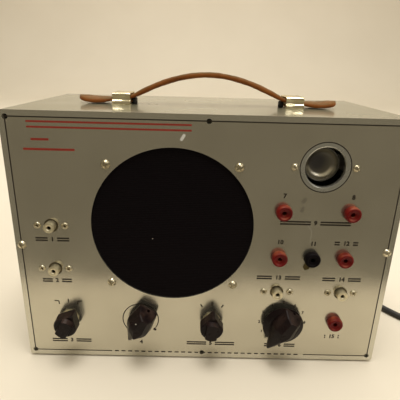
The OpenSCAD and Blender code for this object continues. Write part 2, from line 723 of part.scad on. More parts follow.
// A knob on its shaft, its pointer turned clockwise from the top.
module place_knob(i, clockwise) on_panel([control_x[i], control_h]) rotate([0, 0, -clockwise]) children();
module input_selector_knob() place_knob(0, selector_rest) translate([0, 0, knob_gap]) selector_knob();
module gain_knob() place_knob(1, end_rest) translate([0, 0, knob_gap]) bar_knob(gain_reach, false);
module function_selector_knob() place_knob(2, function_rest) translate([0, 0, knob_gap]) selector_knob();
module attenuator_knob() place_knob(3, end_rest) translate([0, 0, knob_gap]) bar_knob(attenuator_reach, true);

// Shaft from inside the knob to the rear of the control's body.
module control_shaft(i, knob_h, body_len) {
    front = knob_gap + knob_h - knob_wall - 0.4;
    color([0.72, 0.68, 0.56]) on_panel([control_x[i], control_h])
        translate([0, 0, -panel_t - sheet_t - body_len]) cylinder(d = shaft_d, h = front + panel_t + sheet_t + body_len);
}
module input_selector_shaft() control_shaft(0, selector_knob_h, switch_len);
module gain_shaft() control_shaft(1, bar_knob_h, pot_body_len);
module function_selector_shaft() control_shaft(2, selector_knob_h, switch_len);
module attenuator_shaft() control_shaft(3, bar_knob_h, pot_body_len);

// Threaded bushing from the body to the front of the nut.
module bushing_2d(body_r, len) {
    bore_r = shaft_d / 2 + shaft_fit;
    rotate_extrude() polygon([
        [bore_r, -panel_t - sheet_t - len], [body_r, -panel_t - sheet_t - len], [body_r, -panel_t - sheet_t],
        [bushing_d / 2, -panel_t - sheet_t], [bushing_d / 2, bushing_out], [bore_r, bushing_out]
    ]);
}
module potentiometer(i) {
    color([0.50, 0.48, 0.42]) on_panel([control_x[i], control_h]) {
        bushing_2d(pot_body_d / 2, pot_body_len);
        for (s = [-1, 0, 1]) rotate([0, 0, 22 * s]) translate([-1.5, -pot_body_d / 2 - 4, -panel_t - sheet_t - 4])
            cube([3, 4.5, 0.8]);
    }
}
module gain_potentiometer() potentiometer(1);
module attenuator_potentiometer() potentiometer(3);
// Rotary switch: a front plate, two wafers and two spacer rods.
module rotary_switch(i) {
    wafer = switch_t;
    back = -panel_t - sheet_t - switch_len;
    color([0.52, 0.42, 0.26]) on_panel([control_x[i], control_h]) {
        bushing_2d(7, 6);
        translate([0, 0, -panel_t - sheet_t - wafer]) tube(switch_d, 13, wafer);
        for (z = [back, back + 11]) translate([0, 0, z]) tube(switch_d, shaft_d + 2 * shaft_fit, wafer);
        for (s = [-1, 1]) translate([s * (switch_d / 2 - 3), 0, back]) cylinder(d = 3.2, h = switch_len);
    }
}
module input_selector_switch() rotary_switch(0);
module function_selector_switch() rotary_switch(2);
module control_nuts() {
    color([0.78, 0.75, 0.66]) for (x = control_x) on_panel([x, control_h]) {
        tube(nut_af + 2.5, bushing_d + 2 * thread_clear, 0.6);
        translate([0, 0, 0.6]) hex_nut(nut_af, bushing_d + 2 * thread_clear, nut_t);
    }
}

// Phono jack: a barrel through the panel on a flange behind it, and the insulator in its mouth.
module phono_shell(i) {
    flange_r = phono_d / 2 + barrel_gap + 1.1;
    color([0.80, 0.77, 0.66]) on_panel(phono_places[i]) rotate_extrude() polygon([
        [phono_d / 2 - phono_wall, -panel_t - phono_flange_t], [flange_r, -panel_t - phono_flange_t],
        [flange_r, -panel_t], [phono_d / 2, -panel_t], [phono_d / 2, phono_out], [phono_d / 2 - phono_wall, phono_out]
    ]);
}
module upper_input_phono() phono_shell(0);
module lower_input_phono() phono_shell(1);
module left_output_phono() phono_shell(2);
module right_output_phono() phono_shell(3);
module phono_wafers() {
    top = -panel_t - phono_flange_t;
    color([0.50, 0.33, 0.18]) for (p = phono_places) on_panel(p) {
        translate([0, 0, top - wafer_t]) linear_extrude(wafer_t) difference() {
            round_rect(phono_rivet_pitch + 8, 13, 3);
            circle(d = 3.2);
            for (s = [-0.5, 0.5]) translate([s * phono_rivet_pitch, 0]) circle(d = rivet_d);
        }
        translate([0, 0, top]) tube(phono_d - 2 * phono_wall - 0.1, 3.2, phono_out + panel_t + phono_flange_t - 1);
        for (s = [-0.5, 0.5]) translate([s * phono_rivet_pitch, 0, top]) tube(rivet_head_d, rivet_d, phono_flange_t);
    }
}
// Rivets of the phono jacks and of the handle's loops.
module rivets() {
    grip = panel_t + phono_flange_t + wafer_t;
    shank_d = rivet_d - 2 * rivet_clear;
    color([0.78, 0.75, 0.66]) {
        for (p = phono_places, s = [-0.5, 0.5]) on_panel(p + [s * phono_rivet_pitch, 0]) {
            round_screw(rivet_head_d, 1.7, shank_d, grip, 0);
            translate([0, 0, -grip - 1]) cylinder(d = rivet_head_d - 0.8, h = 1);
        }
        for (s = [-1, 1]) translate([s * loop_x, strap_y, top_z]) {
            translate([0, 0, -sheet_t]) cylinder(d = shank_d, h = sheet_t + loop_t);
            translate([0, 0, loop_t]) cylinder(d = rivet_d + 2, h = 0.5);
            translate([0, 0, -sheet_t - 1]) cylinder(d = rivet_d + 2, h = 1);
        }
    }
}

// Tip jack: a dished, moulded head in front of the panel, its neck through it, bored right through.
module tip_jack(i, tint) {
    r = tip_head_d / 2;
    seat = i == ground_jack ? lug_t : 0;
    neck = tip_neck_d / 2;
    color(tint) on_panel(tip_places[i]) rotate_extrude() polygon([
        [tip_bore_d / 2, -panel_t - tip_seat], [neck, -panel_t - tip_seat], [neck, seat], [r - 0.4, seat],
        [r, seat + 0.5], [r, tip_head_h - 1.1], [r - 0.35, tip_head_h - 0.35], [r - 1.1, tip_head_h],
        [r - 2, tip_head_h], [tip_bore_d / 2, tip_head_h - tip_dish]
    ]);
}
tip_red = [0.62, 0.10, 0.07];
module upper_left_tip_jack() tip_jack(0, tip_red);
module upper_right_tip_jack() tip_jack(1, tip_red);
module lower_left_tip_jack() tip_jack(2, tip_red);
module ground_tip_jack() tip_jack(3, [0.05, 0.05, 0.06]);
module lower_right_tip_jack() tip_jack(4, tip_red);
module bottom_tip_jack() tip_jack(5, tip_red);
// Contact sleeves behind the heads, each with a solder tongue.
module tip_jack_contacts() {
    start = -panel_t - tip_seat;
    color([0.76, 0.66, 0.38]) for (p = tip_places) on_panel(p) {
        translate([0, 0, start - tip_back]) tube(tip_bore_d + 2, tip_bore_d, tip_back);
        translate([-1.5, tip_bore_d / 2, start - tip_back - 5]) cube([3, 0.8, 5.5]);
    }
}
module tip_jack_nuts() {
    start = -panel_t - tip_seat;
    bore = tip_bore_d + 2 + 2 * thread_clear;
    color([0.72, 0.70, 0.62]) for (p = tip_places) on_panel(p) {
        translate([0, 0, start - tip_washer_t + 0.6]) difference() {
            cylinder(d = tip_head_d, h = tip_washer_t);
            translate([0, 0, -1]) cylinder(d = bore, h = tip_washer_t + 2);
            translate([0, 0, tip_washer_t - 0.6]) cylinder(d = tip_neck_d + 2 * tip_neck_clear, h = 1);
        }
        translate([0, 0, start - tip_washer_t + 0.6 - tip_nut_t]) hex_nut(9.5, bore, tip_nut_t);
    }
}
// Pointed lug clamped under the ground jack's head.
module ground_lug() {
    reach = tip_head_d / 2 + 5.5;
    color([0.60, 0.55, 0.38]) on_panel(tip_places[ground_jack]) rotate([0, 0, -22]) linear_extrude(lug_t) difference() {
        union() {
            circle(d = tip_head_d - 1);
            polygon([[-3.4, 0], [-2.6, -reach + 2], [0, -reach], [2.6, -reach + 2], [3.4, 0]]);
        }
        circle(d = tip_neck_d + 2 * tip_neck_clear);
    }
}

// Two-tier metal loop that the strap slides through, closed under the strap.
module handle_loops() {
    half = strap_w / 2 + loop_side_clear + loop_t;
    step = 4.4;
    color([0.80, 0.75, 0.55]) for (s = [-1, 1]) difference() {
        translate([s * loop_x - loop_len / 2, strap_y, top_z]) rotate([90, 0, 90]) linear_extrude(loop_len) difference() {
            polygon([
                [-half - 1.4, 0], [half + 1.4, 0], [half + 1.4, step - 1.2], [half, step], [half, loop_h - 1.6],
                [half - 1.6, loop_h], [-half + 1.6, loop_h], [-half, loop_h - 1.6], [-half, step],
                [-half - 1.4, step - 1.2]
            ]);
            translate([-half + loop_t, loop_t]) square([2 * (half - loop_t), loop_inner_h]);
        }
        translate([s * loop_x, strap_y, top_z - 1]) cylinder(d = rivet_d, h = loop_t + 2);
    }
}
// Leather strap: its side view swept across, and its ends widened to paddles.
module handle_strap() {
    last = strap_knots[len(strap_knots) - 1][0];
    neck = strap_knots[3][0] + 2;
    steps = 44;
    xs = [for (i = [-steps : steps]) last * i / steps];
    color([0.42, 0.19, 0.09]) translate([0, strap_y, top_z]) intersection() {
        rotate([90, 0, 0]) translate([0, 0, -paddle_w]) linear_extrude(2 * paddle_w) polygon(concat(
            [for (x = xs) [x, strap_height(abs(x)) + strap_t / 2]],
            [for (i = [len(xs) - 1 : -1 : 0]) [xs[i], strap_height(abs(xs[i])) - strap_t / 2]]
        ));
        linear_extrude(strap_rise + 1) union() {
            square([2 * last - paddle_w, strap_w], center = true);
            for (s = [-1, 1]) {
                translate([s * (last - paddle_w / 2), 0]) circle(d = paddle_w);
                polygon([[s * neck, -strap_w / 2], [s * neck, strap_w / 2],
                    [s * (last - paddle_w / 2 - 3), paddle_w * 0.47], [s * (last - paddle_w / 2 - 3), -paddle_w * 0.47]]);
            }
        }
    }
}
// Dark stops under the strap at the inner side of each loop.
module strap_pads() {
    x = loop_x - loop_len / 2 - pad_gap - pad_len / 2;
    h = strap_height(x + pad_len / 2) - strap_t / 2 - pad_gap - 0.3;
    color([0.08, 0.07, 0.06]) for (s = [-1, 1])
        translate([s * x - pad_len / 2, strap_y - strap_w / 2 + 1, top_z]) cube([pad_len, strap_w - 2, h]);
}

// Laminated core with end bells and mounting feet.
module power_transformer() {
    core_h = 56;
    core_d = 24;
    bell_d = 15;
    x = -deck_w / 2 + transformer_left;
    y = case_y + transformer_back;
    color([0.14, 0.14, 0.15]) translate([x, y, deck_top]) {
        translate([0, bell_d, 0]) cube([transformer_w, core_d, core_h]);
        for (i = [0, 1]) translate([transformer_w / 2, i * (bell_d + core_d), core_h / 2]) rotate([-90, 0, 0]) linear_extrude(bell_d)
            round_rect(transformer_w - 14, core_h - 10, 7);
    }
}
module output_transformer() {
    core = [42, 16, 34];
    coil = [28, 34, 22];
    color([0.14, 0.14, 0.15]) translate([control_x[3] + 8, case_y + output_transformer_back, deck_top]) {
        cube(core);
        translate((core - coil) / 2) cube(coil);
    }
}
module filter_capacitor() {
    color([0.72, 0.72, 0.70]) translate([capacitor_x, tube_y, deck_top]) {
        cylinder(d = capacitor_d, h = capacitor_h);
        cylinder(d = capacitor_flange_d, h = 1.6);
    }
}
module tube_sockets() {
    color([0.30, 0.16, 0.08]) for (x = tube_x) translate([x, tube_y, foot_t + deck_z - 6]) {
        cylinder(d = tube_d - 4, h = 6 + sheet_t);
        translate([0, 0, 6 + sheet_t]) cylinder(d = socket_d, h = socket_t);
    }
}
// Receiving tubes: moulded base and domed glass in one outline.
module tubes() {
    r = tube_d / 2;
    base_h = 14;
    start = deck_top + socket_t;
    color([0.30, 0.30, 0.30]) for (x = tube_x) translate([x, tube_y, start]) rotate_extrude() polygon(concat(
        [[0, 0], [r, 0], [r, base_h], [r - 1.2, base_h + 1]],
        [for (i = [0 : 6]) [(r - 1.2) * cos(15 * i), tube_h - r + (r - 1.2) * sin(15 * i)]]
    ));
}

// Moulded strain relief: a flange outside the cover, a neck through it and a taper along the lead.
module strain_relief() {
    bore = lead_d;
    neck_r = relief_d / 2 - 2 - thread_clear;
    neck_len = 5;
    color([0.07, 0.07, 0.07]) on_back(lead_exit) rotate_extrude() polygon([
        [bore / 2, -cover_t - neck_len], [neck_r, -cover_t - neck_len], [neck_r, 0], [relief_d / 2, 0],
        [relief_d / 2, 2], [neck_r, 3], [bore / 2 + 1.4, relief_out], [bore / 2, relief_out]
    ]);
}

// Rings of points round a route, one ring square to the route at each of its points.
function unit(v) = v / norm(v);
function tangent(p, i) = unit(p[min(i + 1, len(p) - 1)] - p[max(i - 1, 0)]);
function ring(p, i, r, sides) = let (t = tangent(p, i), side = unit(cross(t, [0, 0, 1] + 0.001 * [1, 0, 0])), up = cross(side, t))
    [for (k = [0 : sides - 1]) p[i] + r * (cos(360 * k / sides) * side + sin(360 * k / sides) * up)];
// A Catmull-Rom curve through the route's points.
function route_point(p, i, t) = let (a = p[max(i - 1, 0)], b = p[i], c = p[i + 1], d = p[min(i + 2, len(p) - 1)])
    0.5 * (2 * b + (c - a) * t + (2 * a - 5 * b + 4 * c - d) * t ^ 2 + (3 * b - a - 3 * c + d) * t ^ 3);
function smooth_route(p, steps) = concat([for (i = [0 : len(p) - 2], s = [0 : steps - 1]) route_point(p, i, s / steps)],
    [p[len(p) - 1]]);
module swept_tube(p, r, sides) {
    n = len(p);
    points = [for (i = [0 : n - 1]) each ring(p, i, r, sides)];
    walls = [for (i = [0 : n - 2], k = [0 : sides - 1])
        [i * sides + k, i * sides + (k + 1) % sides, (i + 1) * sides + (k + 1) % sides, (i + 1) * sides + k]];
    ends = [[for (k = [sides - 1 : -1 : 0]) k], [for (k = [0 : sides - 1]) (n - 1) * sides + k]];
    polyhedron(points, concat(walls, ends));
}
module mains_lead() {
    color([0.07, 0.06, 0.06]) for (route = [lead_route, tail_route])
        swept_tube(smooth_route(route, 2), lead_d / 2 - thread_clear, 10);
}
module mains_lead_coil() {
    color([0.07, 0.06, 0.06]) translate([coil_centre[0], coil_centre[1], 0]) tube(2 * coil_out, 2 * coil_in, coil_h);
}
// Two-blade plug lying on its flat side, its neck round the lead's end.
module mains_plug() {
    end = tail_route[len(tail_route) - 1];
    neck = 8;
    blade = [16, 1.5, 6.4];
    color([0.07, 0.06, 0.06]) translate([end[0], end[1], 0]) rotate([0, 0, plug_turn]) difference() {
        union() {
            translate([-neck, 0, plug_h / 2]) rotate([0, 90, 0]) cylinder(d1 = lead_d + 4, d2 = lead_d + 8, h = neck + 1);
            translate([0, 0, plug_h / 2]) rotate([90, 0, 90]) linear_extrude(plug_len) round_rect(plug_w, plug_h, 6);
            for (side = [-0.5, 0.5]) translate([plug_len, side * plug_blade_pitch - blade[1] / 2, (plug_h - blade[2]) / 2])
                cube(blade);
        }
        translate([-neck - 1, 0, plug_h / 2]) rotate([0, 90, 0]) cylinder(d = lead_d, h = neck + 1);
    }
}

cabinet();
front_panel();
case_screws();
feet();
back_cover();
chassis();
grille_cloth();
speaker_basket();
speaker_front_plate();
speaker_magnet();
speaker_screws();
speaker_nuts();
speaker_cone();
speaker_dust_cap();
voice_coil();
eye_ring();
eye_screws();
eye_bracket();
eye_tube_glass();
eye_tube_base();
input_selector_knob();
input_selector_shaft();
input_selector_switch();
gain_knob();
gain_shaft();
gain_potentiometer();
function_selector_knob();
function_selector_shaft();
function_selector_switch();
attenuator_knob();
attenuator_shaft();
attenuator_potentiometer();
control_nuts();
upper_input_phono();
lower_input_phono();
left_output_phono();
right_output_phono();
phono_wafers();
rivets();
upper_left_tip_jack();
upper_right_tip_jack();
lower_left_tip_jack();
ground_tip_jack();
lower_right_tip_jack();
bottom_tip_jack();
tip_jack_contacts();
tip_jack_nuts();
ground_lug();
handle_loops();
handle_strap();
strap_pads();
power_transformer();
output_transformer();
filter_capacitor();
tube_sockets();
tubes();
strain_relief();
mains_lead();
mains_lead_coil();
mains_plug();
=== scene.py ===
# %% [markdown]
# # A bench signal tracer, dressed for a studio picture
# The instrument is a sheet-steel box with a lacquered front panel, a loudspeaker behind cloth, a
# tuning-eye window, jacks, four turning controls, a leather handle and a mains lead.
# Its engineering model is loaded first, as a fixed frame of named parts. Everything below either gives
# one of those parts its finish or replaces a plain part with a more detailed one in the same place.

# %% Load the frame
import math

import bmesh
import bpy
from mathutils import Matrix, Vector


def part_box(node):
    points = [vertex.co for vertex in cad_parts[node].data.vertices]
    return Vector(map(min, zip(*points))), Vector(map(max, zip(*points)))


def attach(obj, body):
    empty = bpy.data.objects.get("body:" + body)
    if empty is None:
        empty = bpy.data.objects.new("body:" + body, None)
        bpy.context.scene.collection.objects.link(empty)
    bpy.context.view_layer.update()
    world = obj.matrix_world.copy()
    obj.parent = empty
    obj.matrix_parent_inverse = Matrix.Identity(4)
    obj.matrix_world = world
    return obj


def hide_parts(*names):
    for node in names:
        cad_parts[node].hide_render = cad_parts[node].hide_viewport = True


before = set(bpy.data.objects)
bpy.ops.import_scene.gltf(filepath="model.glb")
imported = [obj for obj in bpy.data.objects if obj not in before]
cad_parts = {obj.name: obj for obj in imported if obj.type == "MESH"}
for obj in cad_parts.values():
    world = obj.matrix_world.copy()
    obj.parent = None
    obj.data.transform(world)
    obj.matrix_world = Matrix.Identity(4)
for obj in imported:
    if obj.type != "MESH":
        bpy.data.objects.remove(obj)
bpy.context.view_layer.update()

# %% [markdown]
# ## Places
# Sizes here are in millimetres and Blender works in metres, so one factor turns one into the other.
# Most places are read from the frame's own boxes, so that a piece sits where the real one is fixed.
# A point of the panel is given as it is measured with a ruler: right of the middle, up from the case's
# bottom edge, and out of the panel's face.

# %% Places on the panel
MM = 0.001
panel_low, panel_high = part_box("front_panel")
PANEL_Y = panel_low[1]
BASE_Z = panel_low[2]
CASE_W = (panel_high[0] - panel_low[0]) / MM
CASE_H = (panel_high[2] - panel_low[2]) / MM
TOP_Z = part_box("cabinet")[1][2]


def on_panel(right, up, out=0.0):
    """The point of the frame at a place of the panel, all in millimetres."""
    return Vector((right * MM, PANEL_Y - out * MM, BASE_Z + up * MM))


def middle(node):
    """Right and up, in millimetres, of the middle of a part's box."""
    low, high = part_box(node)
    return (low[0] + high[0]) / 2 / MM, ((low[2] + high[2]) / 2 - BASE_Z) / MM


NAMES = ("input_selector", "gain", "function_selector", "attenuator")
CONTROLS = {name: middle(name + "_shaft") for name in NAMES}
SPEAKER = middle("grille_cloth")
EYE = middle("eye_ring")
print("panel", round(CASE_W), "by", round(CASE_H), "mm; speaker at", [round(v, 1) for v in SPEAKER])

# %% [markdown]
# ## Camera
# A lens of 35 mm on a 36 mm sensor, 29 cm in front of the panel and a little above the handle, looks
# down at the box. A lens this close makes the box's sides converge.

# %% Camera
CAMERA_FROM_PANEL = (-7.53, 247.94, 286.13)
CAMERA_TURN = (70.879, -1.441, 0.031)


def add_piece(name, shape):
    """An object that shows this mesh or curve, or holds this camera or lamp."""
    piece = bpy.data.objects.new(name, shape)
    bpy.context.scene.collection.objects.link(piece)
    return piece


camera_data = bpy.data.cameras.new("camera")
camera_data.lens = 35.27
camera_data.sensor_width = 36.0
camera_data.clip_start = 0.01
camera_data.clip_end = 20.0
camera = add_piece("camera", camera_data)
camera.location = on_panel(*CAMERA_FROM_PANEL)
camera.rotation_euler = [math.radians(a) for a in CAMERA_TURN]
bpy.context.scene.camera = camera
print("camera at", [round(v, 3) for v in camera.location])

# %% [markdown]
# ## Mains lead
# The lead is a rubber-covered cable of 6 mm that leaves a tapered relief in the back cover, drops to
# the bench, passes round the case's right side and ends in a coil with its plug beside it.
# Its points follow the same route as the plain tube of the engineering model. The coil's turns are
# worked out by a loop: they wind in on the bench, step up, and wind out again on top, as a lead does
# when it is coiled by hand.

# %% Route of the mains lead
LEAD_D = 6.0
LEAD_ROUTE = [
    (112, 94, 32), (112, 100, 32), (112.5, 110, 31), (115, 120, 27.5), (121, 129, 21),
    (130, 136, 14), (141, 139.5, 8), (153, 139, 4), (164, 134, 3), (172, 126, 3), (177, 116, 3),
    (179, 104, 3), (180, 84, 3), (182, 63, 3), (185, 42, 3), (190, 22, 3), (198, 3, 3),
    (207, -9, 3), (215, -20, 3), (220, -34, 3),
]
COIL_CENTRE = (266, -50)
COIL_OUTER_R = 45.0
TURN_PITCH = 6.2
LAYER_TURNS = 3
STEP_TURNS = 0.5
POINTS_PER_TURN = 24
TAIL_ROUTE = [
    (311, -40, 7.5), (309.5, -30, 5), (306, -20, 3.4), (301, -10, 3.6), (296.5, -2, 6), (292, 5.5, 9),
]


def coil_points():
    """Turns in on the bench, half a turn that climbs, and turns out again on top."""
    steps = round((2 * LAYER_TURNS + STEP_TURNS) * POINTS_PER_TURN)
    inner_r = COIL_OUTER_R - TURN_PITCH * LAYER_TURNS
    points = []
    for i in range(steps + 1):
        turns = i / POINTS_PER_TURN
        climb = min(max((turns - LAYER_TURNS) / STEP_TURNS, 0.0), 1.0)
        out = max(LAYER_TURNS - turns, turns - LAYER_TURNS - STEP_TURNS, 0.0)
        r = inner_r + TURN_PITCH * out
        angle = math.pi + 2 * math.pi * turns
        height = LEAD_D / 2 + (LEAD_D + 0.05) * climb * climb * (3 - 2 * climb)
        points.append((COIL_CENTRE[0] + r * math.cos(angle), COIL_CENTRE[1] + r * math.sin(angle), height))
    return points


lead_points = [Vector(point) * MM for point in LEAD_ROUTE + coil_points() + TAIL_ROUTE]
print("lead route has", len(lead_points), "points")

# %% [markdown]
# A smooth curve with a round section keeps one thickness all the way.


# %% Mains lead
def round_tube(name, points, thickness):
    """A tube of this thickness in metres, smooth through the points, and the fine path that it follows."""
    data = bpy.data.curves.new(name, "CURVE")
    data.dimensions = "3D"
    data.bevel_resolution = 4
    data.resolution_u = 3
    data.use_fill_caps = True
    spline = data.splines.new("BEZIER")
    spline.bezier_points.add(len(points) - 1)
    for knot, point in zip(spline.bezier_points, points):
        knot.co = point
        knot.handle_left_type = knot.handle_right_type = "AUTO"
    guide = add_piece(name + "_guide", data)
    path = [vertex.co.copy() for vertex in bpy.data.meshes.new_from_object(guide).vertices]
    data.bevel_depth = thickness / 2
    mesh = bpy.data.meshes.new_from_object(guide)
    bpy.data.objects.remove(guide)
    for face in mesh.polygons:
        face.use_smooth = True
    return add_piece(name, mesh), path


mains_cord, lead_path = round_tube("mains_cord", lead_points, LEAD_D * MM)
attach(mains_cord, "instrument")
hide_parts("mains_lead", "mains_lead_coil")

# %% [markdown]
# The coil is held by a short soft-wire tie wound twice round all its turns, with its two ends twisted
# together and bent flat. It is a thin round tube, wound round the coil's section like a loose spring.

# %% Tie round the coil
TIE_ANGLE = 35
TIE_D = 2.0


def squarish(angle, wide, tall):
    """A point of a rounded rectangle: cosine and sine, each raised to a power that fills its corners."""
    across, up = math.cos(angle), math.sin(angle)
    return math.copysign(abs(across) ** wide, across), math.copysign(abs(up) ** tall, up)


def tie_points():
    """Two oblong turns round the coil's section, then the two twisted ends on top of it."""
    middle_r = COIL_OUTER_R - TURN_PITCH * LAYER_TURNS / 2
    half_w = TURN_PITCH * LAYER_TURNS / 2 + LEAD_D / 2 + TIE_D / 2 + 0.4
    low, high = TIE_D / 2, 2 * LEAD_D + TIE_D / 2 + 0.3
    mid, half_h = (low + high) / 2, (high - low) / 2
    around = Vector((math.cos(math.radians(TIE_ANGLE)), math.sin(math.radians(TIE_ANGLE)), 0))
    along = Vector((-around.y, around.x, 0))
    centre = Vector((COIL_CENTRE[0], COIL_CENTRE[1], 0)) + around * middle_r
    points = []
    for i in range(41):
        flat, tall = squarish(math.radians(90 + 18 * i), 0.55, 0.55)
        lift = Vector((0, 0, mid + half_h * tall))
        points.append(centre + around * half_w * flat + lift + along * (0.075 * i - 1.5))
    for reach, side, rise in ((4, 1.0, 0.6), (8, -0.8, 1.2), (12, 0.8, 1.0), (16, -0.6, 0.6)):
        points.append(centre + around * side + along * (1.5 + reach) + Vector((0, 0, high + rise)))
    return [point * MM for point in points]


coil_tie, tie_path = round_tube("coil_tie", tie_points(), TIE_D * MM)
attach(coil_tie, "instrument")
print("coil tied at", TIE_ANGLE, "degrees with", len(tie_path), "points")

# %% [markdown]
# ## Building materials
# A finish is a small graph of shader nodes. Short helpers keep the graphs readable: they add a node, do
# arithmetic, make a smooth step and mix two colours.
# Effects that several finishes use are node groups. They give out only masks, heights and values,
# while each material keeps its own Principled shader, on which everything that is constant is typed.


# %% Shader helpers
def add(tree, kind, inputs=None, **settings):
    """Adds a shader node. Inputs are numbers or the sockets of other nodes."""
    node = tree.nodes.new("ShaderNode" + kind)
    for name, value in settings.items():
        setattr(node, name, value)
    for name, value in (inputs or {}).items():
        if isinstance(value, bpy.types.NodeSocket):
            tree.links.new(value, node.inputs[name])
        else:
            node.inputs[name].default_value = value
    return node


def calc(tree, operation, *values):
    """Arithmetic on values or sockets."""
    return add(tree, "Math", dict(enumerate(values)), operation=operation).outputs[0]


def times(tree, first, second):
    """The product of two values or sockets."""
    return calc(tree, "MULTIPLY", first, second)


def vector(tree, operation, first, second):
    """Arithmetic on two vectors, whose result is a vector or a value."""
    outputs = add(tree, "VectorMath", {0: first, 1: second}, operation=operation).outputs
    return outputs["Value"] if operation in ("DISTANCE", "DOT_PRODUCT") else outputs["Vector"]


def between(tree, value, low, high, to_low=0.0, to_high=1.0):
    """A smooth step of value from low to high."""
    steps = {"Value": value, "From Min": low, "From Max": high, "To Min": to_low, "To Max": to_high}
    return add(tree, "MapRange", steps, interpolation_type="SMOOTHSTEP").outputs["Result"]


def blend(tree, factor, first, second):
    """Mixes two colours, given as three numbers or as sockets."""
    def full(colour):
        return colour if isinstance(colour, bpy.types.NodeSocket) else (*colour, 1.0)
    inputs = {0: factor, 6: full(first), 7: full(second)}
    return add(tree, "Mix", inputs, data_type="RGBA", clamp_factor=True).outputs[2]


# %% [markdown]
# Many effects depend on where a point lies or which way it faces, so short helpers give its place, its
# place along one axis and how far it faces up. Two more make and place a shared group.


# %% Places and groups
def surface_place(tree):
    """The place on the surface, in metres of the frame."""
    return add(tree, "TexCoord").outputs["Object"]


def along_axis(tree, axis):
    """The place on the surface along one axis."""
    return add(tree, "SeparateXYZ", {0: surface_place(tree)}).outputs[axis]


def facing_up(tree):
    """How far the surface faces up, from -1 to 1."""
    return add(tree, "SeparateXYZ", {0: add(tree, "NewGeometry").outputs["Normal"]}).outputs["Z"]


def shared(name, build, *outputs, **inputs):
    """A node group. build gives its outputs' sockets, and inputs are names with default values."""
    tree = bpy.data.node_groups.new(name, "ShaderNodeTree")
    for socket, value in inputs.items():
        kind = "NodeSocketVector" if hasattr(value, "__len__") else "NodeSocketFloat"
        tree.interface.new_socket(socket, in_out="INPUT", socket_type=kind).default_value = value
    for socket in outputs:
        tree.interface.new_socket(socket, in_out="OUTPUT", socket_type="NodeSocketFloat")
    given, out = tree.nodes.new("NodeGroupInput").outputs, tree.nodes.new("NodeGroupOutput").inputs
    for socket, value in zip(outputs, build(tree, given)):
        tree.links.new(value, out[socket])
    return tree


def use(tree, group, **inputs):
    """Places a shared group and returns its outputs."""
    return add(tree, "Group", inputs, node_tree=group).outputs


# %% [markdown]
# ### Shared effects
# *Grain* is even noise. Fine, it is the flake in metallic lacquer or the tooth of rubber. Broad, it is
# the faint change of tone that handling and age leave on every finish.
# *Worn edge* compares a surface with the same surface with rounded edges: where they differ is an edge,
# and some of it has lost its finish. *Dust* lies on what faces up, more in some places than in others. On
# the red jack heads the same mask paints their tops lighter, as painted light.


# %% Shared wear
def grain(tree, given):
    """Even noise."""
    inputs = {"Vector": surface_place(tree), "Scale": given["Scale"], "Detail": given["Detail"]}
    return [add(tree, "TexNoise", inputs).outputs["Fac"]]


def worn_edge(tree, given):
    """Rubbed edges, in patches."""
    soft = add(tree, "Bevel", {"Radius": given["Radius"]}, samples=6).outputs["Normal"]
    normal = add(tree, "NewGeometry").outputs["True Normal"]
    edge = between(tree, vector(tree, "DOT_PRODUCT", soft, normal), 0.99, 0.86)
    patches = use(tree, GRAIN, Scale=given["Patchiness"], Detail=4.0)["Tone"]
    worn = times(tree, edge, between(tree, patches, 0.42, 0.6))
    return [times(tree, worn, given["Amount"])]


def dust(tree, given):
    """Dust on what faces up, in patches. On the red jack heads the same mask is painted light on their tops.
    """
    patches = use(tree, GRAIN, Scale=given["Patchiness"], Detail=6.0)["Tone"]
    level = between(tree, facing_up(tree), 0.2, 0.95)
    lying = times(tree, level, between(tree, patches, 0.35, 0.75))
    return [times(tree, lying, given["Amount"])]


GRAIN = shared("grain", grain, "Tone", Scale=900.0, Detail=3.0)
WORN_EDGE = shared("worn edge", worn_edge, "Mask", Radius=0.0006, Patchiness=160.0, Amount=1.0)
TOP_DUST_AND_LIGHT = shared("dust", dust, "Mask", Amount=0.5, Patchiness=60.0)
print(len(bpy.data.node_groups), "shared effects of wear")

# %% [markdown]
# *Line mark* is a scratch or a brush stroke between two points: its mask falls off with the distance
# from the line. *Ribs* are a corded cloth's rows, with finer threads across them. A pair of sine waves
# makes both at the cloth's true scale.


# %% Shared marks and ribs
def soft_line(tree, given):
    """A soft-edged line between two points."""
    away = vector(tree, "SUBTRACT", surface_place(tree), given["From"])
    run = vector(tree, "SUBTRACT", given["To"], given["From"])
    along, whole = vector(tree, "DOT_PRODUCT", away, run), vector(tree, "DOT_PRODUCT", run, run)
    share = add(tree, "Clamp", {"Value": calc(tree, "DIVIDE", along, whole)}).outputs[0]
    foot = add(tree, "VectorMath", {0: run, "Scale": share}, operation="SCALE").outputs[0]
    half = times(tree, given["Width"], 0.5)
    return [between(tree, vector(tree, "DISTANCE", away, foot), half, given["Width"], 1.0, 0.0)]


def corded(tree, given):
    """Rows and finer threads, as a height and as a tone that follows the height, varied by slub: painted
    light on the rows' tops.
    """
    turns = calc(tree, "DIVIDE", 2 * math.pi, given["Pitch"])
    ridges = calc(tree, "SINE", times(tree, along_axis(tree, "Z"), turns))
    threads = calc(tree, "SINE", times(tree, along_axis(tree, "X"), times(tree, turns, 2.2)))
    height = calc(tree, "MULTIPLY_ADD", ridges, 0.4, calc(tree, "MULTIPLY_ADD", threads, 0.1, 0.5))
    slub = use(tree, GRAIN, Scale=500.0, Detail=3.0)["Tone"]
    return [height, times(tree, height, slub)]


LINE_MARK = shared("line mark", soft_line, "Mask", From=(0.0,) * 3, To=(0.0, 0.0, 0.01), Width=0.0004)
RIBS = shared("ribs", corded, "Height", "Tone", Pitch=0.001)
print(len(bpy.data.node_groups), "shared effects in all")

# %% [markdown]
# ### A material and its usual parts
# Every finish starts from the same skeleton: a Principled shader whose constants are typed on its own
# sockets, with a colour, a roughness and a bump that may vary. `finish` makes it and keeps it by name.
# Each of those is a function that adds its own nodes, such as fine noise or a slow drift of tone.

# %% Start of a material
MATERIALS = {}


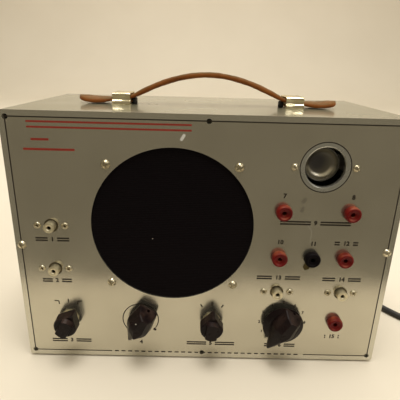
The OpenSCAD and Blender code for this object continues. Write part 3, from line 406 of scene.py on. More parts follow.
def finish(name, constants, colour, roughness=None, height=None, bump=0.2, depth=0.0001, metallic=None):
    """Makes a material. colour, roughness, height and metallic are functions of the node tree."""
    material = bpy.data.materials.new(name)
    material.use_nodes = True
    tree = material.node_tree
    shader = tree.nodes["Principled BSDF"]
    for socket, value in constants.items():
        shader.inputs[socket].default_value = value
    for socket, varying in (("Base Color", colour), ("Roughness", roughness), ("Metallic", metallic)):
        if varying:
            tree.links.new(varying(tree), shader.inputs[socket])
    if height:
        dents = add(tree, "Bump", {"Height": height(tree), "Strength": bump, "Distance": depth})
        tree.links.new(dents.outputs["Normal"], shader.inputs["Normal"])
    MATERIALS[name] = material


def grainy(scale, detail=3.0):
    """A height or tone that is fine noise of this scale."""
    return lambda tree: use(tree, GRAIN, Scale=scale, Detail=detail)["Tone"]


def varied(scale, low, high):
    """A value that drifts between low and high."""
    return lambda tree: between(tree, grainy(scale, 5.0)(tree), 0.3, 0.7, low, high)


def two_tones(scale, first, second):
    """A colour that drifts between two tones."""
    return lambda tree: blend(tree, varied(scale, 0.0, 1.0)(tree), first, second)


# %% [markdown]
# A colour is a base under layers of other tones, as paint, wear and dust lie on a real thing. Each layer
# has a mask: rubbed edges, dust on what faces up, or what lies behind the panel.


# %% Masks and layers
def rubbed(radius, patchiness, amount):
    """A mask of rubbed edges, whose radius is in millimetres."""
    return lambda tree: use(tree, WORN_EDGE, Radius=radius * MM, Patchiness=patchiness, Amount=amount)["Mask"]


def lying_dust(amount, patchiness):
    """A mask of what faces up. Dust lies there, and on the red jack heads it paints light on their tops."""
    return lambda tree: use(tree, TOP_DUST_AND_LIGHT, Amount=amount, Patchiness=patchiness)["Mask"]


def behind(out):
    """A mask of what lies further back than this height out of the panel, in millimetres."""
    return lambda tree: calc(tree, "GREATER_THAN", along_axis(tree, "Y"), PANEL_Y - out * MM)


def layered(base, *layers):
    """A base colour under layers of other colours, each of which shows through its mask."""
    def made(tree, tone):
        return tone(tree) if callable(tone) else tone

    def colour(tree):
        tone = made(tree, base)
        for mask, over in layers:
            tone = blend(tree, mask(tree), tone, made(tree, over))
        return tone
    return colour


# %% [markdown]
# ### Panel
# The panel is sprayed with silver lacquer: fine aluminium flake in a satin clear coat. That is a metal
# with a little roughness and a fine flake bump. Outside the printed border it is a shade lighter, and
# it has a chip of bare white, a hair scratch and two faint smudges.

# %% Panel
BORDER_INSET = 4.8
LACQUER = (0.56, 0.53, 0.435)
LACQUER_DARK = (0.515, 0.485, 0.395)
LACQUER_EDGE = (0.615, 0.595, 0.51)
CHIP = (0.85, 0.84, 0.8)
SMUDGE = (0.16, 0.14, 0.11)
PANEL_MARKS = [
    (((78, 133), (84.5, 124.5), 0.5, 0.4), CHIP), (((84.5, 124.5), (84, 115), 0.5, 0.4), CHIP),
    (((75, 149.5), (76, 151), 2.2, 0.35), SMUDGE), (((74.5, 142), (75, 143.5), 2.0, 0.35), SMUDGE),
]
PANEL_CHIP = ((-19.9, 195.4), (-18.1, 198.4), 1.5)


def marked(start, end, width, strength=1.0):
    """A mask of a mark on the panel, from and to places given in millimetres."""
    def mask(tree):
        line = use(tree, LINE_MARK, From=on_panel(*start), To=on_panel(*end), Width=width * MM)["Mask"]
        return times(tree, line, strength)
    return mask


def flake(tree):
    """The aluminium flake that glints in the lacquer."""
    return times(tree, between(tree, grainy(2600.0, 2.0)(tree), 0.25, 0.75), 0.16)


def margin(tree):
    """The panel outside its printed border."""
    sideways = calc(tree, "ABSOLUTE", along_axis(tree, "X"))
    sideways = calc(tree, "SUBTRACT", sideways, (CASE_W / 2 - BORDER_INSET) * MM)
    upward = calc(tree, "SUBTRACT", along_axis(tree, "Z"), BASE_Z + CASE_H / 2 * MM)
    upward = calc(tree, "SUBTRACT", calc(tree, "ABSOLUTE", upward), (CASE_H / 2 - BORDER_INSET) * MM)
    outside = calc(tree, "GREATER_THAN", calc(tree, "MAXIMUM", sideways, upward), 0.0)
    return times(tree, outside, 0.8)


def panel_metal(tree):
    """Lacquer is metallic everywhere but on the chip."""
    return calc(tree, "MULTIPLY_ADD", marked(*PANEL_CHIP)(tree), -0.9, 0.9)


panel_colour = layered(
    two_tones(22.0, LACQUER, LACQUER_DARK), (flake, LACQUER_EDGE), (margin, LACQUER_EDGE),
    *((marked(*mark), tone) for mark, tone in PANEL_MARKS),
    (rubbed(0.5, 240.0, 0.5), CHIP), (marked(*PANEL_CHIP), CHIP),
)
finish("panel_lacquer", {}, panel_colour, varied(30.0, 0.19, 0.25), grainy(2400.0, 2.0), 0.1, 0.00006,
       metallic=panel_metal)
print("panel finished, with", len(PANEL_MARKS) + 1, "marks")

# %% [markdown]
# ### Case and ring
# The case has a smooth stoving enamel in a darker, greener grey, which is a glossy paint with a little
# flake and a clear coat. The eye's ring is turned aluminium under the panel's lacquer, so it is greyer
# than the panel.

# %% Case and ring
case_colour = layered(
    two_tones(9.0, (0.27, 0.252, 0.165), (0.24, 0.224, 0.146)),
    (lying_dust(0.1, 30.0), (0.36, 0.33, 0.25)), (rubbed(0.9, 110.0, 0.7), (0.5, 0.48, 0.43)),
)
finish("case_enamel", {"Coat Weight": 0.7, "Coat Roughness": 0.1, "Metallic": 0.25}, case_colour,
       varied(12.0, 0.26, 0.34), grainy(140.0, 2.0), 0.05, 0.00008)

ring_colour = layered(
    two_tones(60.0, (0.56, 0.56, 0.52), (0.5, 0.5, 0.46)),
    (rubbed(0.5, 300.0, 0.8), (0.74, 0.73, 0.68)),
)
finish("ring_lacquer", {"Metallic": 0.9}, ring_colour, varied(60.0, 0.22, 0.3), grainy(2400.0, 2.0),
       0.1, 0.00006)
print("case and ring finished")

# %% [markdown]
# ### Metals
# Nickel plate is a pale, slightly yellow mirror that has gone dull in patches. Steel inside the case is
# cadmium-plated and greyer, brass contacts are yellow and tarnished, and the handle's loops are brassy
# where their plating is thin. Each is one call with its own pair of tones and its own roughness. The
# phono jacks' sheet is pale and thinly plated in front of the panel, and behind the panel it is painted
# dark, as painted shade in the gap round each barrel.


# %% Metals
def metal(name, bright, dull, rough, patch=70.0, wear=0.0):
    """A plated or bare metal that drifts between a bright and a dull tone."""
    grimy = tuple(0.5 * channel for channel in dull)
    colour = layered(two_tones(patch, bright, dull), (rubbed(0.3, 300.0, wear), grimy))
    finish(name, {"Metallic": 1.0}, colour, varied(patch * 2, *rough), grainy(1800.0), 0.06, 0.00005)


metal("nickel_plate", (0.66, 0.6, 0.45), (0.5, 0.44, 0.3), (0.22, 0.36), wear=0.3)
metal("loop_plate", (0.96, 0.88, 0.64), (0.82, 0.7, 0.44), (0.14, 0.26), 120.0, 0.4)
metal("plated_steel", (0.62, 0.61, 0.57), (0.46, 0.45, 0.41), (0.32, 0.48), 40.0)
metal("turned_steel", (0.72, 0.69, 0.62), (0.56, 0.53, 0.46), (0.22, 0.34), 150.0)
metal("dull_brass", (0.46, 0.36, 0.19), (0.27, 0.21, 0.11), (0.34, 0.52), 160.0)
metal("lug_brass", (0.115, 0.09, 0.04), (0.07, 0.055, 0.026), (0.4, 0.55), 160.0)
metal("magnet_iron", (0.3, 0.3, 0.29), (0.2, 0.19, 0.18), (0.42, 0.6), 60.0)
metal("drawn_can", (0.74, 0.74, 0.72), (0.6, 0.6, 0.58), (0.26, 0.4), 50.0)

# Behind the panel the jack sheet is painted dark: painted shade in the gap round each barrel.
plate_colour = layered(
    two_tones(160.0, (0.88, 0.81, 0.6), (0.72, 0.65, 0.46)), (behind(-1.0), (0.19, 0.16, 0.1)),
)
finish("jack_plate", {"Metallic": 0.9}, plate_colour, varied(200.0, 0.3, 0.45), grainy(1800.0),
       0.06, 0.00005)
print("metals finished")

# %% [markdown]
# ### Mouldings, rubber and paint
# The jacks' heads are cast phenolic, red or black, with a soft gloss. The red heads' tops are painted a
# lighter orange: painted light, where light falls on them from above. The knobs are bakelite: nearly
# black with a warm tinge, glossy, with paler dust in their hollows and on top. Rubber and crackle paint
# are the same idea with more roughness and a coarser bump. A phono jack's wafer is brown sheet behind
# the panel, and inside the jack's barrel is a pale moulded insulator, painted nearly black deeper in as
# painted shade.

# %% Mouldings, rubber and paint
PALE_DUST = (0.3, 0.27, 0.22)
PHENOLIC = ((0.23, 0.12, 0.045), (0.18, 0.09, 0.032))


def moulding(name, tones, rough, scale=90.0, bump=0.06, top_dust_and_light_amount=0.3, top_dust_and_light_tone=PALE_DUST, worn=0.25, **more):
    """A moulded or painted surface with paler, rubbed edges and a tone on top. Dust makes that tone, but on
    the red heads it is painted light.
    """
    pale = tuple(min(1.0, 2.2 * channel + 0.03) for channel in tones[0])
    colour = layered(two_tones(scale, *tones), (rubbed(0.35, 420.0, worn), pale),
                     (lying_dust(top_dust_and_light_amount, 120.0), top_dust_and_light_tone))
    constants = {socket.replace("_", " "): value for socket, value in more.items()}
    finish(name, constants, colour, varied(scale * 2, *rough), grainy(1400.0), bump, 0.00006)


# The red heads' orange top tone is painted light on their upper faces, not dust.
moulding("red_moulding", ((0.185, 0.006, 0.005), (0.125, 0.004, 0.004)), (0.3, 0.42), top_dust_and_light_amount=0.55,
         top_dust_and_light_tone=(0.6, 0.19, 0.085), Specular_IOR_Level=0.2)
moulding("black_moulding", ((0.006, 0.004, 0.0055), (0.0042, 0.003, 0.004)), (0.4, 0.52), top_dust_and_light_amount=0.1,
         top_dust_and_light_tone=(0.05, 0.036, 0.032), Specular_IOR_Level=0.06)
moulding("bakelite", ((0.01, 0.0052, 0.0052), (0.0062, 0.0034, 0.0038)), (0.26, 0.4), top_dust_and_light_amount=0.38,
         top_dust_and_light_tone=(0.105, 0.062, 0.046), Specular_IOR_Level=0.15)
moulding("brown_bakelite", ((0.11, 0.045, 0.02), (0.08, 0.032, 0.014)), (0.28, 0.42))
moulding("rubber", ((0.026, 0.025, 0.024), (0.018, 0.017, 0.017)), (0.52, 0.7), bump=0.2, top_dust_and_light_amount=0.35,
         top_dust_and_light_tone=(0.12, 0.11, 0.1))
moulding("phenolic_sheet", PHENOLIC, (0.4, 0.55))
moulding("japan_black", ((0.024, 0.024, 0.025), (0.016, 0.016, 0.017)), (0.36, 0.52), bump=0.3, top_dust_and_light_amount=0.5)
moulding("pressed_paper", ((0.045, 0.04, 0.036), (0.03, 0.027, 0.024)), (0.8, 0.92), bump=0.5)
moulding("coil_paper", ((0.33, 0.17, 0.07), (0.26, 0.13, 0.05)), (0.45, 0.6))
moulding("panel_ink_and_shadow", ((0.02, 0.015, 0.01), (0.032, 0.024, 0.016)), (0.45, 0.55), 600.0, top_dust_and_light_amount=0.0,
         worn=0.0, Specular_IOR_Level=0.25)
moulding("red_ink", ((0.4, 0.03, 0.016), (0.32, 0.024, 0.012)), (0.4, 0.5), 600.0, top_dust_and_light_amount=0.0,
         worn=0.0)
moulding("white_paint", ((0.74, 0.72, 0.64), (0.6, 0.58, 0.5)), (0.4, 0.55), top_dust_and_light_amount=0.0, worn=0.0)

# Deeper than 3.6 mm out of the panel the insulator is painted nearly black, as painted shade inside the
# barrel.
insulator_colour = layered(
    two_tones(200.0, (0.66, 0.6, 0.41), (0.56, 0.5, 0.33)), (behind(3.6), (0.03, 0.02, 0.01)),
    (behind(-1.0), two_tones(90.0, *PHENOLIC)),
)
finish("jack_insulator", {"Coat Weight": 0.1}, insulator_colour, varied(180.0, 0.4, 0.55), grainy(1400.0),
       0.06, 0.00006)
print("mouldings finished")

# %% [markdown]
# The plug is one moulded piece with its two blades, so its finish tells brass from rubber by the place
# along the plug's own axis.

# %% Plug
PLUG_TURN = math.radians(121)
PLUG_LEN = 32.0


def plug_blades(tree):
    """The brass blades past the plug's face, from 0 to 1."""
    from_neck = vector(tree, "SUBTRACT", surface_place(tree), lead_points[-1])
    along = vector(tree, "DOT_PRODUCT", from_neck, (math.cos(PLUG_TURN), math.sin(PLUG_TURN), 0.0))
    return calc(tree, "GREATER_THAN", along, (PLUG_LEN + 0.05) * MM)


plug_colour = layered(
    two_tones(90.0, (0.013, 0.0115, 0.011), (0.008, 0.007, 0.0068)),
    (plug_blades, two_tones(160.0, (0.62, 0.46, 0.2), (0.48, 0.34, 0.13))),
)
finish("plug_finish", {"Specular IOR Level": 0.3}, plug_colour, varied(90.0, 0.32, 0.46), grainy(700.0),
       0.1, metallic=plug_blades)
print("plug finished")

# %% [markdown]
# ### Leather
# The strap is worn harness leather: orange-brown at its cut edges, olive-brown and darker on the outer
# face that hands have polished, with small pale scuffs. Its pebbled grain is made from round cells,
# because noise alone looks like sand.


# %% Leather
def leather_pebbles(tree):
    """Small rounded cells with creases between them."""
    cells = add(tree, "TexVoronoi", {"Vector": surface_place(tree), "Scale": 900.0}, feature="SMOOTH_F1")
    creases = use(tree, GRAIN, Scale=160.0, Detail=6.0)["Tone"]
    return calc(tree, "MULTIPLY_ADD", creases, 0.8, cells.outputs["Distance"])


def fine_scuffs(tree):
    """Small pale scuffs all over the leather."""
    return times(tree, between(tree, grainy(420.0, 5.0)(tree), 0.4, 0.72), 0.35)


def polished(tree):
    """The outer face, which hands have polished."""
    return times(tree, between(tree, facing_up(tree), 0.1, 0.8), varied(90.0, 0.55, 0.95)(tree))


leather_colour = layered(
    two_tones(70.0, (0.33, 0.108, 0.024), (0.2, 0.062, 0.014)), (fine_scuffs, (0.4, 0.135, 0.036)),
    (polished, (0.125, 0.072, 0.02)),
)
finish("leather", {"Specular IOR Level": 0.14}, leather_colour, varied(120.0, 0.45, 0.62),
       leather_pebbles, 0.6, 0.00025)
print("leather finished")

# %% [markdown]
# ### Cloth
# The grille cloth is corded black cotton, so dark that only its rows catch light. Its colour is painted a
# little lighter on the rows' tops, as painted light. It has no gloss.


# %% Cloth
def ribs(output):
    """The cloth's rows and threads, as a height or a tone."""
    return lambda tree: use(tree, RIBS, Pitch=1.5 * MM)[output]


# The rows' tops are painted lighter than the cloth between them, as painted light.
cloth_colour = layered((0.0042, 0.003, 0.0038), (ribs("Tone"), (0.0125, 0.0095, 0.011)))
finish("ribbed_cloth", {"Roughness": 1.0, "Specular IOR Level": 0.08}, cloth_colour, None,
       ribs("Height"), 0.6, 0.0003)
print("cloth finished")

# %% [markdown]
# ### Glass
# The eye tube shows its pale, dished target under clear glass. The target and the glass round it are one
# spun piece, so its finish is laid out in rings and by depth: dark in the middle, paler further out, and a
# bright, metallic painted highlight on the lower part of the dish's wall, where light falls into it.

# %% Glass
EYE_MIDDLE = on_panel(EYE[0], EYE[1], -11.0)
EYE_DARK = on_panel(EYE[0] - 2.0, EYE[1] + 1.0, -14.0)


def eye_radius(tree):
    """The distance from the middle of the target."""
    return vector(tree, "DISTANCE", surface_place(tree), EYE_MIDDLE)


def eye_wall(tree):
    """A painted highlight on the lower part of the target's wall, from 0 to 1."""
    radius = eye_radius(tree)
    below = between(tree, along_axis(tree, "Z"), EYE_MIDDLE.z - 0.5 * MM, EYE_MIDDLE.z - 6.0 * MM)
    inner = between(tree, radius, 9.2 * MM, 10.4 * MM)
    outer = between(tree, radius, 12.9 * MM, 12.0 * MM)
    return times(tree, below, times(tree, inner, outer))


def eye_lit(tree):
    """The target away from its dark middle."""
    away = vector(tree, "DISTANCE", surface_place(tree), EYE_DARK)
    return between(tree, away, 4.0 * MM, 13.0 * MM)


def eye_rim(tree):
    """The outer edge of the target."""
    return between(tree, eye_radius(tree), 11.6 * MM, 12.6 * MM)


def eye_outside(tree):
    """The glass round and behind the target."""
    wide = calc(tree, "GREATER_THAN", eye_radius(tree), 13.15 * MM)
    return calc(tree, "MAXIMUM", behind(-19.0)(tree), wide)


# The bright tone, and the metallic, on the lower wall are a painted highlight: a crescent where light falls
# into the dish.
eye_colour = layered(
    (0.03, 0.024, 0.028), (eye_lit, (0.26, 0.23, 0.155)), (eye_rim, (0.1, 0.095, 0.07)),
    (eye_wall, (0.95, 0.89, 0.72)), (eye_outside, (0.045, 0.04, 0.028)),
)
finish("eye_target", {"Coat Weight": 1.0, "Coat Roughness": 0.05}, eye_colour, varied(80.0, 0.3, 0.4),
       metallic=eye_wall)
finish("getter_glass", {"Coat Weight": 1.0, "Coat Roughness": 0.03, "Roughness": 0.2},
       two_tones(30.0, (0.1, 0.1, 0.1), (0.26, 0.26, 0.25)))
print(len(MATERIALS), "materials")

# %% [markdown]
# ## Finishes of the engineering parts
# Parts whose shape is right keep their mesh and get a finish. A small bevel modifier rounds the edges
# that a folder, a moulder or a lathe would leave rounded, because a dead-sharp edge catches no light.

# %% Finishes by part
PHONOS = ["upper_input_phono", "lower_input_phono", "left_output_phono", "right_output_phono"]
FINISH_OF = {
    "case_enamel": ["cabinet", "back_cover"],
    "panel_lacquer": ["front_panel"],
    "ring_lacquer": ["eye_ring"],
    "nickel_plate": ["case_screws", "speaker_screws", "speaker_nuts", "eye_screws", "tip_jack_nuts"],
    "jack_plate": [*PHONOS, "control_nuts"],
    "rubber": ["feet", "strain_relief"],
    "plated_steel": ["chassis", "eye_bracket", "speaker_basket", "gain_potentiometer",
                     "attenuator_potentiometer"],
    "magnet_iron": ["speaker_front_plate", "speaker_magnet"],
    "pressed_paper": ["speaker_cone", "speaker_dust_cap"],
    "coil_paper": ["voice_coil"],
    "plug_finish": ["mains_plug"],
    "brown_bakelite": ["tube_sockets", "eye_tube_base"],
    "bakelite": [control + "_knob" for control in CONTROLS],
    "turned_steel": [control + "_shaft" for control in CONTROLS],
    "phenolic_sheet": ["input_selector_switch", "function_selector_switch"],
    "jack_insulator": ["phono_wafers"],
    "dull_brass": ["tip_jack_contacts"],
    "lug_brass": ["ground_lug"],
    "japan_black": ["power_transformer", "output_transformer"],
    "drawn_can": ["filter_capacitor"],
    "getter_glass": ["tubes"],
}
BEVEL_OF = {
    0.15: [*PHONOS, "case_screws", "speaker_screws", "eye_screws"],
    0.2: ["control_nuts"],
    0.3: ["back_cover", "eye_ring"],
    0.35: ["front_panel"],
    0.4: ["feet"],
    0.5: ["cabinet", "strain_relief", "input_selector_knob", "function_selector_knob"],
    0.55: ["gain_knob", "attenuator_knob"],
}


def give_finish(piece, name):
    """Puts one material in every slot of a piece."""
    piece.data.materials.clear()
    piece.data.materials.append(MATERIALS[name])


def soften_edges(piece, width):
    """Rounds a piece's sharp edges by a width in millimetres and smooths its shading."""
    bevel = piece.modifiers.new("rounded edges", "BEVEL")
    bevel.width = width * MM
    bevel.segments = 2
    bevel.limit_method = "ANGLE"
    bevel.angle_limit = math.radians(35)
    bevel.harden_normals = True


for finish_name, parts in FINISH_OF.items():
    for part in parts:
        give_finish(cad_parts[part], finish_name)
for width, parts in BEVEL_OF.items():
    for part in parts:
        soften_edges(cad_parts[part], width)
give_finish(mains_cord, "rubber")
give_finish(coil_tie, "black_moulding")
print("finishes given to", sum(len(parts) for parts in FINISH_OF.values()), "parts")

# %% [markdown]
# ## New pieces
# A new piece is built in mesh code. `piece_from` takes corner points and faces, and `lathe` spins an
# outline round an axis that points straight out of the panel, as a lathe or a round mould would.


# %% Mesh helpers
def piece_from(name, points, faces, finish_name, body="instrument", smooth=True):
    """A mesh piece from points in metres, on a body, with its finish."""
    mesh = bpy.data.meshes.new(name)
    mesh.from_pydata([tuple(point) for point in points], [], faces)
    work = bmesh.new()
    work.from_mesh(mesh)
    bmesh.ops.remove_doubles(work, verts=work.verts, dist=1e-7)
    bmesh.ops.recalc_face_normals(work, faces=work.faces)
    work.to_mesh(mesh)
    work.free()
    for face in mesh.polygons:
        face.use_smooth = smooth
    piece = add_piece(name, mesh)
    give_finish(piece, finish_name)
    if body:
        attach(piece, body)
    return piece


def skin(rings, caps=True):
    """Points and faces of a skin over rings that all have the same number of points."""
    count = len(rings[0])
    points = [point for ring in rings for point in ring]
    faces = []
    for low in range(0, count * (len(rings) - 1), count):
        for k in range(count):
            after = (k + 1) % count
            faces.append((low + k, low + after, low + count + after, low + count + k))
    if caps:
        last = count * (len(rings) - 1)
        faces.extend([tuple(range(count)), tuple(range(last, last + count))])
    return points, faces


def circle(centre, radius, segments):
    """Places at equal steps on a circle of the panel."""
    angles = [2 * math.pi * k / segments for k in range(segments)]
    return [(centre[0] + radius * math.cos(a), centre[1] + radius * math.sin(a)) for a in angles]


def lathe(outline, centre, segments):
    """Points and faces of an outline of (radius, height out of the panel), spun round a panel place."""
    rings = [[on_panel(*place, out) for place in circle(centre, radius, segments)] for radius, out in outline]
    return skin(rings, caps=False)


def add_up(parts):
    """Joins several lists of points and faces into one."""
    points, faces = [], []
    for some_points, some_faces in parts:
        faces.extend(tuple(k + len(points) for k in face) for face in some_faces)
        points.extend(some_points)
    return points, faces


# %% [markdown]
# ### Strap
# The strap is one piece of harness leather about 4 mm thick. It rises between two metal loops, slides
# through them, and ends in wider paddles that keep it from slipping out. It is built from oval sections
# along its path: rounded like a burnished edge, narrow on the arch, wider at the paddles, and turned a
# little backwards on the arch and forwards again on its right half, as years of lifting have left it.

# %% Strap
STRAP_Y = (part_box("handle_strap")[0][1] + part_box("handle_strap")[1][1]) / 2 / MM
CASE_TOP = TOP_Z / MM
STRAP_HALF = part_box("handle_strap")[1][0] / MM
STRAP_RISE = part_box("handle_strap")[1][2] / MM - CASE_TOP
LOOP_X = 73.4
LOOP_LEN = 15.0
STRAP_W = 20.0
PADDLE_W = 27.0
STRAP_KNOTS = [
    (0, STRAP_RISE - 2.0, 0), (58, 9.7, -0.5), (66, 6.2, -0.3), (81, 3.9, -0.12), (94, 2.9, 0),
    (111.4, 5.2, 0.3),
]


def ease(value, low, high):
    """A smooth step from 0 to 1 as value goes from low to high."""
    share = min(max((value - low) / (high - low), 0.0), 1.0)
    return share * share * (3 - 2 * share)


def strap_height(x):
    """Height of the strap's middle line over the case, as a smooth curve through its knots.

    A knot is a distance from the middle, a height and a slope.
    """
    before = max(i for i in range(len(STRAP_KNOTS) - 1) if x >= STRAP_KNOTS[i][0])
    (x0, y0, slope0), (x1, y1, slope1) = STRAP_KNOTS[before], STRAP_KNOTS[before + 1]
    run = x1 - x0
    t = (x - x0) / run
    rise = y0 * (2 * t ** 3 - 3 * t ** 2 + 1) + y1 * (3 * t ** 2 - 2 * t ** 3)
    return rise + slope0 * run * (t ** 3 - 2 * t ** 2 + t) + slope1 * run * (t ** 3 - t ** 2)


def strap_section(x):
    """One section of the strap at a distance from the middle, as a ring of points."""
    side, reach = math.copysign(1, x), min(abs(x), STRAP_HALF - 0.05)
    to_end = STRAP_HALF - reach
    width = STRAP_W + (PADDLE_W - STRAP_W) * ease(reach, 82, 98)
    tip_r = PADDLE_W / 2
    if to_end < tip_r:
        width = 2 * math.sqrt(max(tip_r ** 2 - (tip_r - to_end) ** 2, 0.04))
    thick = 4.5 - 1.3 * ease(reach, 54, 66) + 1.3 * ease(reach, 82, 92) - 1.6 * ease(to_end, 5, 0)
    thick += 0.12 * math.sin(x * 0.31) + 0.1 * math.sin(x * 0.83 + 1.0)
    twist = math.radians(3.5 * ease(x, 5, 30) * ease(x, 62, 44) - 2.5 * ease(reach, 60, 35))
    slope = 0
    if reach > 0.2:
        slope = side * (strap_height(min(reach + 0.2, STRAP_HALF)) - strap_height(reach - 0.2)) / 0.4
    level, upright = Vector((0, 1, 0)), Vector((-slope, 0, 1)).normalized()
    across = level * math.cos(twist) + upright * math.sin(twist)
    up = upright * math.cos(twist) - level * math.sin(twist)
    centre = Vector((side * reach, STRAP_Y, CASE_TOP + strap_height(reach)))
    ring = []
    for k in range(28):
        flat, tall = squarish(2 * math.pi * k / 28, 0.3, 0.75)
        ring.append((centre + across * flat * width / 2 + up * tall * thick / 2) * MM)
    return ring


STRAP_STEPS = 180
strap_rings = [strap_section(STRAP_HALF * (2 * i / STRAP_STEPS - 1)) for i in range(STRAP_STEPS + 1)]
strap = piece_from("leather_strap", *skin(strap_rings), "leather")
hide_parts("handle_strap")
print("strap", round(2 * STRAP_HALF), "mm long")

# %% [markdown]
# ### Loops
# Each loop is folded and plated sheet brass with a step near its foot, so it shows two bright tiers.
# Its section is swept along the strap: an outer outline with rounded corners, an opening for the strap,
# and end faces between them.

# %% Loops
LOOP_SIDE = [
    (13.9, 0.0), (13.85, 0.9), (13.7, 2.0), (13.5, 2.9), (13.1, 3.4), (12.7, 3.7), (12.5, 4.2), (12.4, 5.0),
    (12.25, 5.8), (12.4, 6.8), (12.5, 7.8), (12.3, 8.7), (11.7, 9.4), (10.8, 9.75), (9.5, 9.8), (5.0, 9.8),
]
LOOP_OPENING = [
    (11.2, 1.3), (11.3, 1.5), (11.3, 2.2), (11.3, 3.0), (11.3, 3.8), (11.3, 4.6), (11.3, 5.3), (11.3, 6.0),
    (11.3, 6.6), (11.3, 7.2), (11.3, 7.8), (11.2, 8.3), (10.9, 8.5), (10.2, 8.6), (9.0, 8.6), (5.0, 8.6),
]


def both_sides(half):
    """An outline of the right side, followed by its mirror image."""
    return half + [(-across, up) for across, up in reversed(half)]


def strap_loop(centre_x):
    """Points and faces of one loop: outer skin, inner skin and two end faces."""
    edge = 0.35
    rings = []
    stations = [(-1, -1), (-1, 0), (1, 0), (1, -1)]
    for outline, sign in ((both_sides(LOOP_SIDE), 1), (both_sides(LOOP_OPENING), -1)):
        for end, inset in stations if sign > 0 else reversed(stations):
            x = centre_x + end * (LOOP_LEN / 2 + (0 if inset else -edge))
            grow = sign * inset * edge
            ring = []
            for u, z in outline:
                height = max(z + (grow if z > 5 else 0), 0)
                ring.append(Vector((x, STRAP_Y + u + math.copysign(grow, u), CASE_TOP + height)) * MM)
            rings.append(ring)
    return skin(rings + rings[:1], caps=False)


loops = piece_from("strap_loops", *add_up([strap_loop(-LOOP_X), strap_loop(LOOP_X)]), "loop_plate")
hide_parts("handle_loops")
print("two loops", LOOP_LEN, "mm long")

# %% [markdown]
# ### Stops
# A small rubber stop under the strap keeps it from chafing at the loop. It is a short upright block with
# rounded corners, as high as the strap allows.


# %% Stops
def stop_rings(side):
    """A rubber stop with rounded corners, narrower than the strap that rests on it."""
    inner = LOOP_X - LOOP_LEN / 2 - 0.4
    height = strap_height(inner - 4) - 3.0
    rings = []
    for share, inset in ((0.0, 0.3), (0.08, 0.0), (0.88, 0.0), (1.0, 0.5)):
        corners = []
        for k in range(24):
            u, v = squarish(2 * math.pi * k / 24, 0.5, 0.5)
            place = (side * (inner - 1.8) + u * (1.8 - inset), STRAP_Y + v * (5.0 - inset))
            corners.append(Vector((*place, CASE_TOP + share * height)) * MM)
        rings.append(corners)
    return rings


stops = piece_from("strap_stops", *add_up([skin(stop_rings(-1)), skin(stop_rings(1))]), "rubber")
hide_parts("strap_pads")
print("two stops")

# %% [markdown]
# ### Tuning-eye tube
# The eye is the end of a glass tube a few millimetres behind its ring. What one sees through its clear
# end is the target, a shallow coated dish that is dark in its middle. So the dish is modelled in the
# tube's mouth, with walls that curve up to its rim, and its finish has the glass's clear coat.

# %% Tuning-eye tube
EYE_R = 14.3
eye_front = (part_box("eye_tube_glass")[0][1] - PANEL_Y) / MM
eye_back = (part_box("eye_tube_glass")[1][1] - PANEL_Y) / MM
DISH_RIM = 12.8
DISH_DEPTH = 3.4
DISH = [
    (0.0, 6.6), (3.0, 6.5), (6.0, 6.1), (8.0, 5.6), (9.4, 4.9), (10.5, 4.1), (11.4, 3.2), (12.0, 2.3),
    (12.5, 1.5), (DISH_RIM, 1.0),
]
eye_outline = [(radius, -(eye_front + DISH_DEPTH + depth)) for radius, depth in DISH]
for k in range(1, 9):
    angle = math.radians(180 * k / 8)
    rim_out = DISH_DEPTH + 1.0 - 0.7 * math.sin(angle)
    eye_outline.append((DISH_RIM + 0.6 * (1 - math.cos(angle)), -(eye_front + rim_out)))
eye_outline += [
    (EYE_R, -(eye_front + DISH_DEPTH + 4.5)), (EYE_R, -(eye_back - 5)),
    (EYE_R - 1.5, -(eye_back - 1.5)), (EYE_R - 5, -eye_back), (0.0, -eye_back),
]
eye_tube = piece_from("eye_tube", *lathe(eye_outline, EYE, 96), "eye_target")
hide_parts("eye_tube_glass")
print("eye tube", round(eye_back - eye_front), "mm long")

# %% [markdown]
# ### Grille cloth
# The cloth is a disc cut a little larger than the loudspeaker's opening and clamped flat between the
# panel and the basket's rim. It is a thin sheet with a grid of its own, and its ribs are in its finish.

# %% Grille cloth
cloth_low, cloth_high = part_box("grille_cloth")
CLOTH_R = (cloth_high[0] - cloth_low[0]) / 2 / MM - 0.3
cloth_out = -(cloth_low[1] - PANEL_Y) / MM - 0.1
cloth_outline = [(CLOTH_R * i / 24, cloth_out - 0.06 * math.sin(math.pi * i / 24)) for i in range(25)]
cloth = piece_from("speaker_cloth", *lathe(cloth_outline, SPEAKER, 96), "ribbed_cloth")
thickness = cloth.modifiers.new("thickness", "SOLIDIFY")
thickness.thickness = 0.35 * MM
thickness.offset = 0.0
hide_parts("grille_cloth")
print("cloth of", round(2 * CLOTH_R), "mm")

# %% [markdown]
# ### Tip-jack mouldings
# A tip jack's head is a thick button of red or black phenolic, with a soft edge and a dished face that
# guides the probe's tip into the bore. Its neck goes through the panel. The ground jack is the black
# one, and it sits on its solder lug.

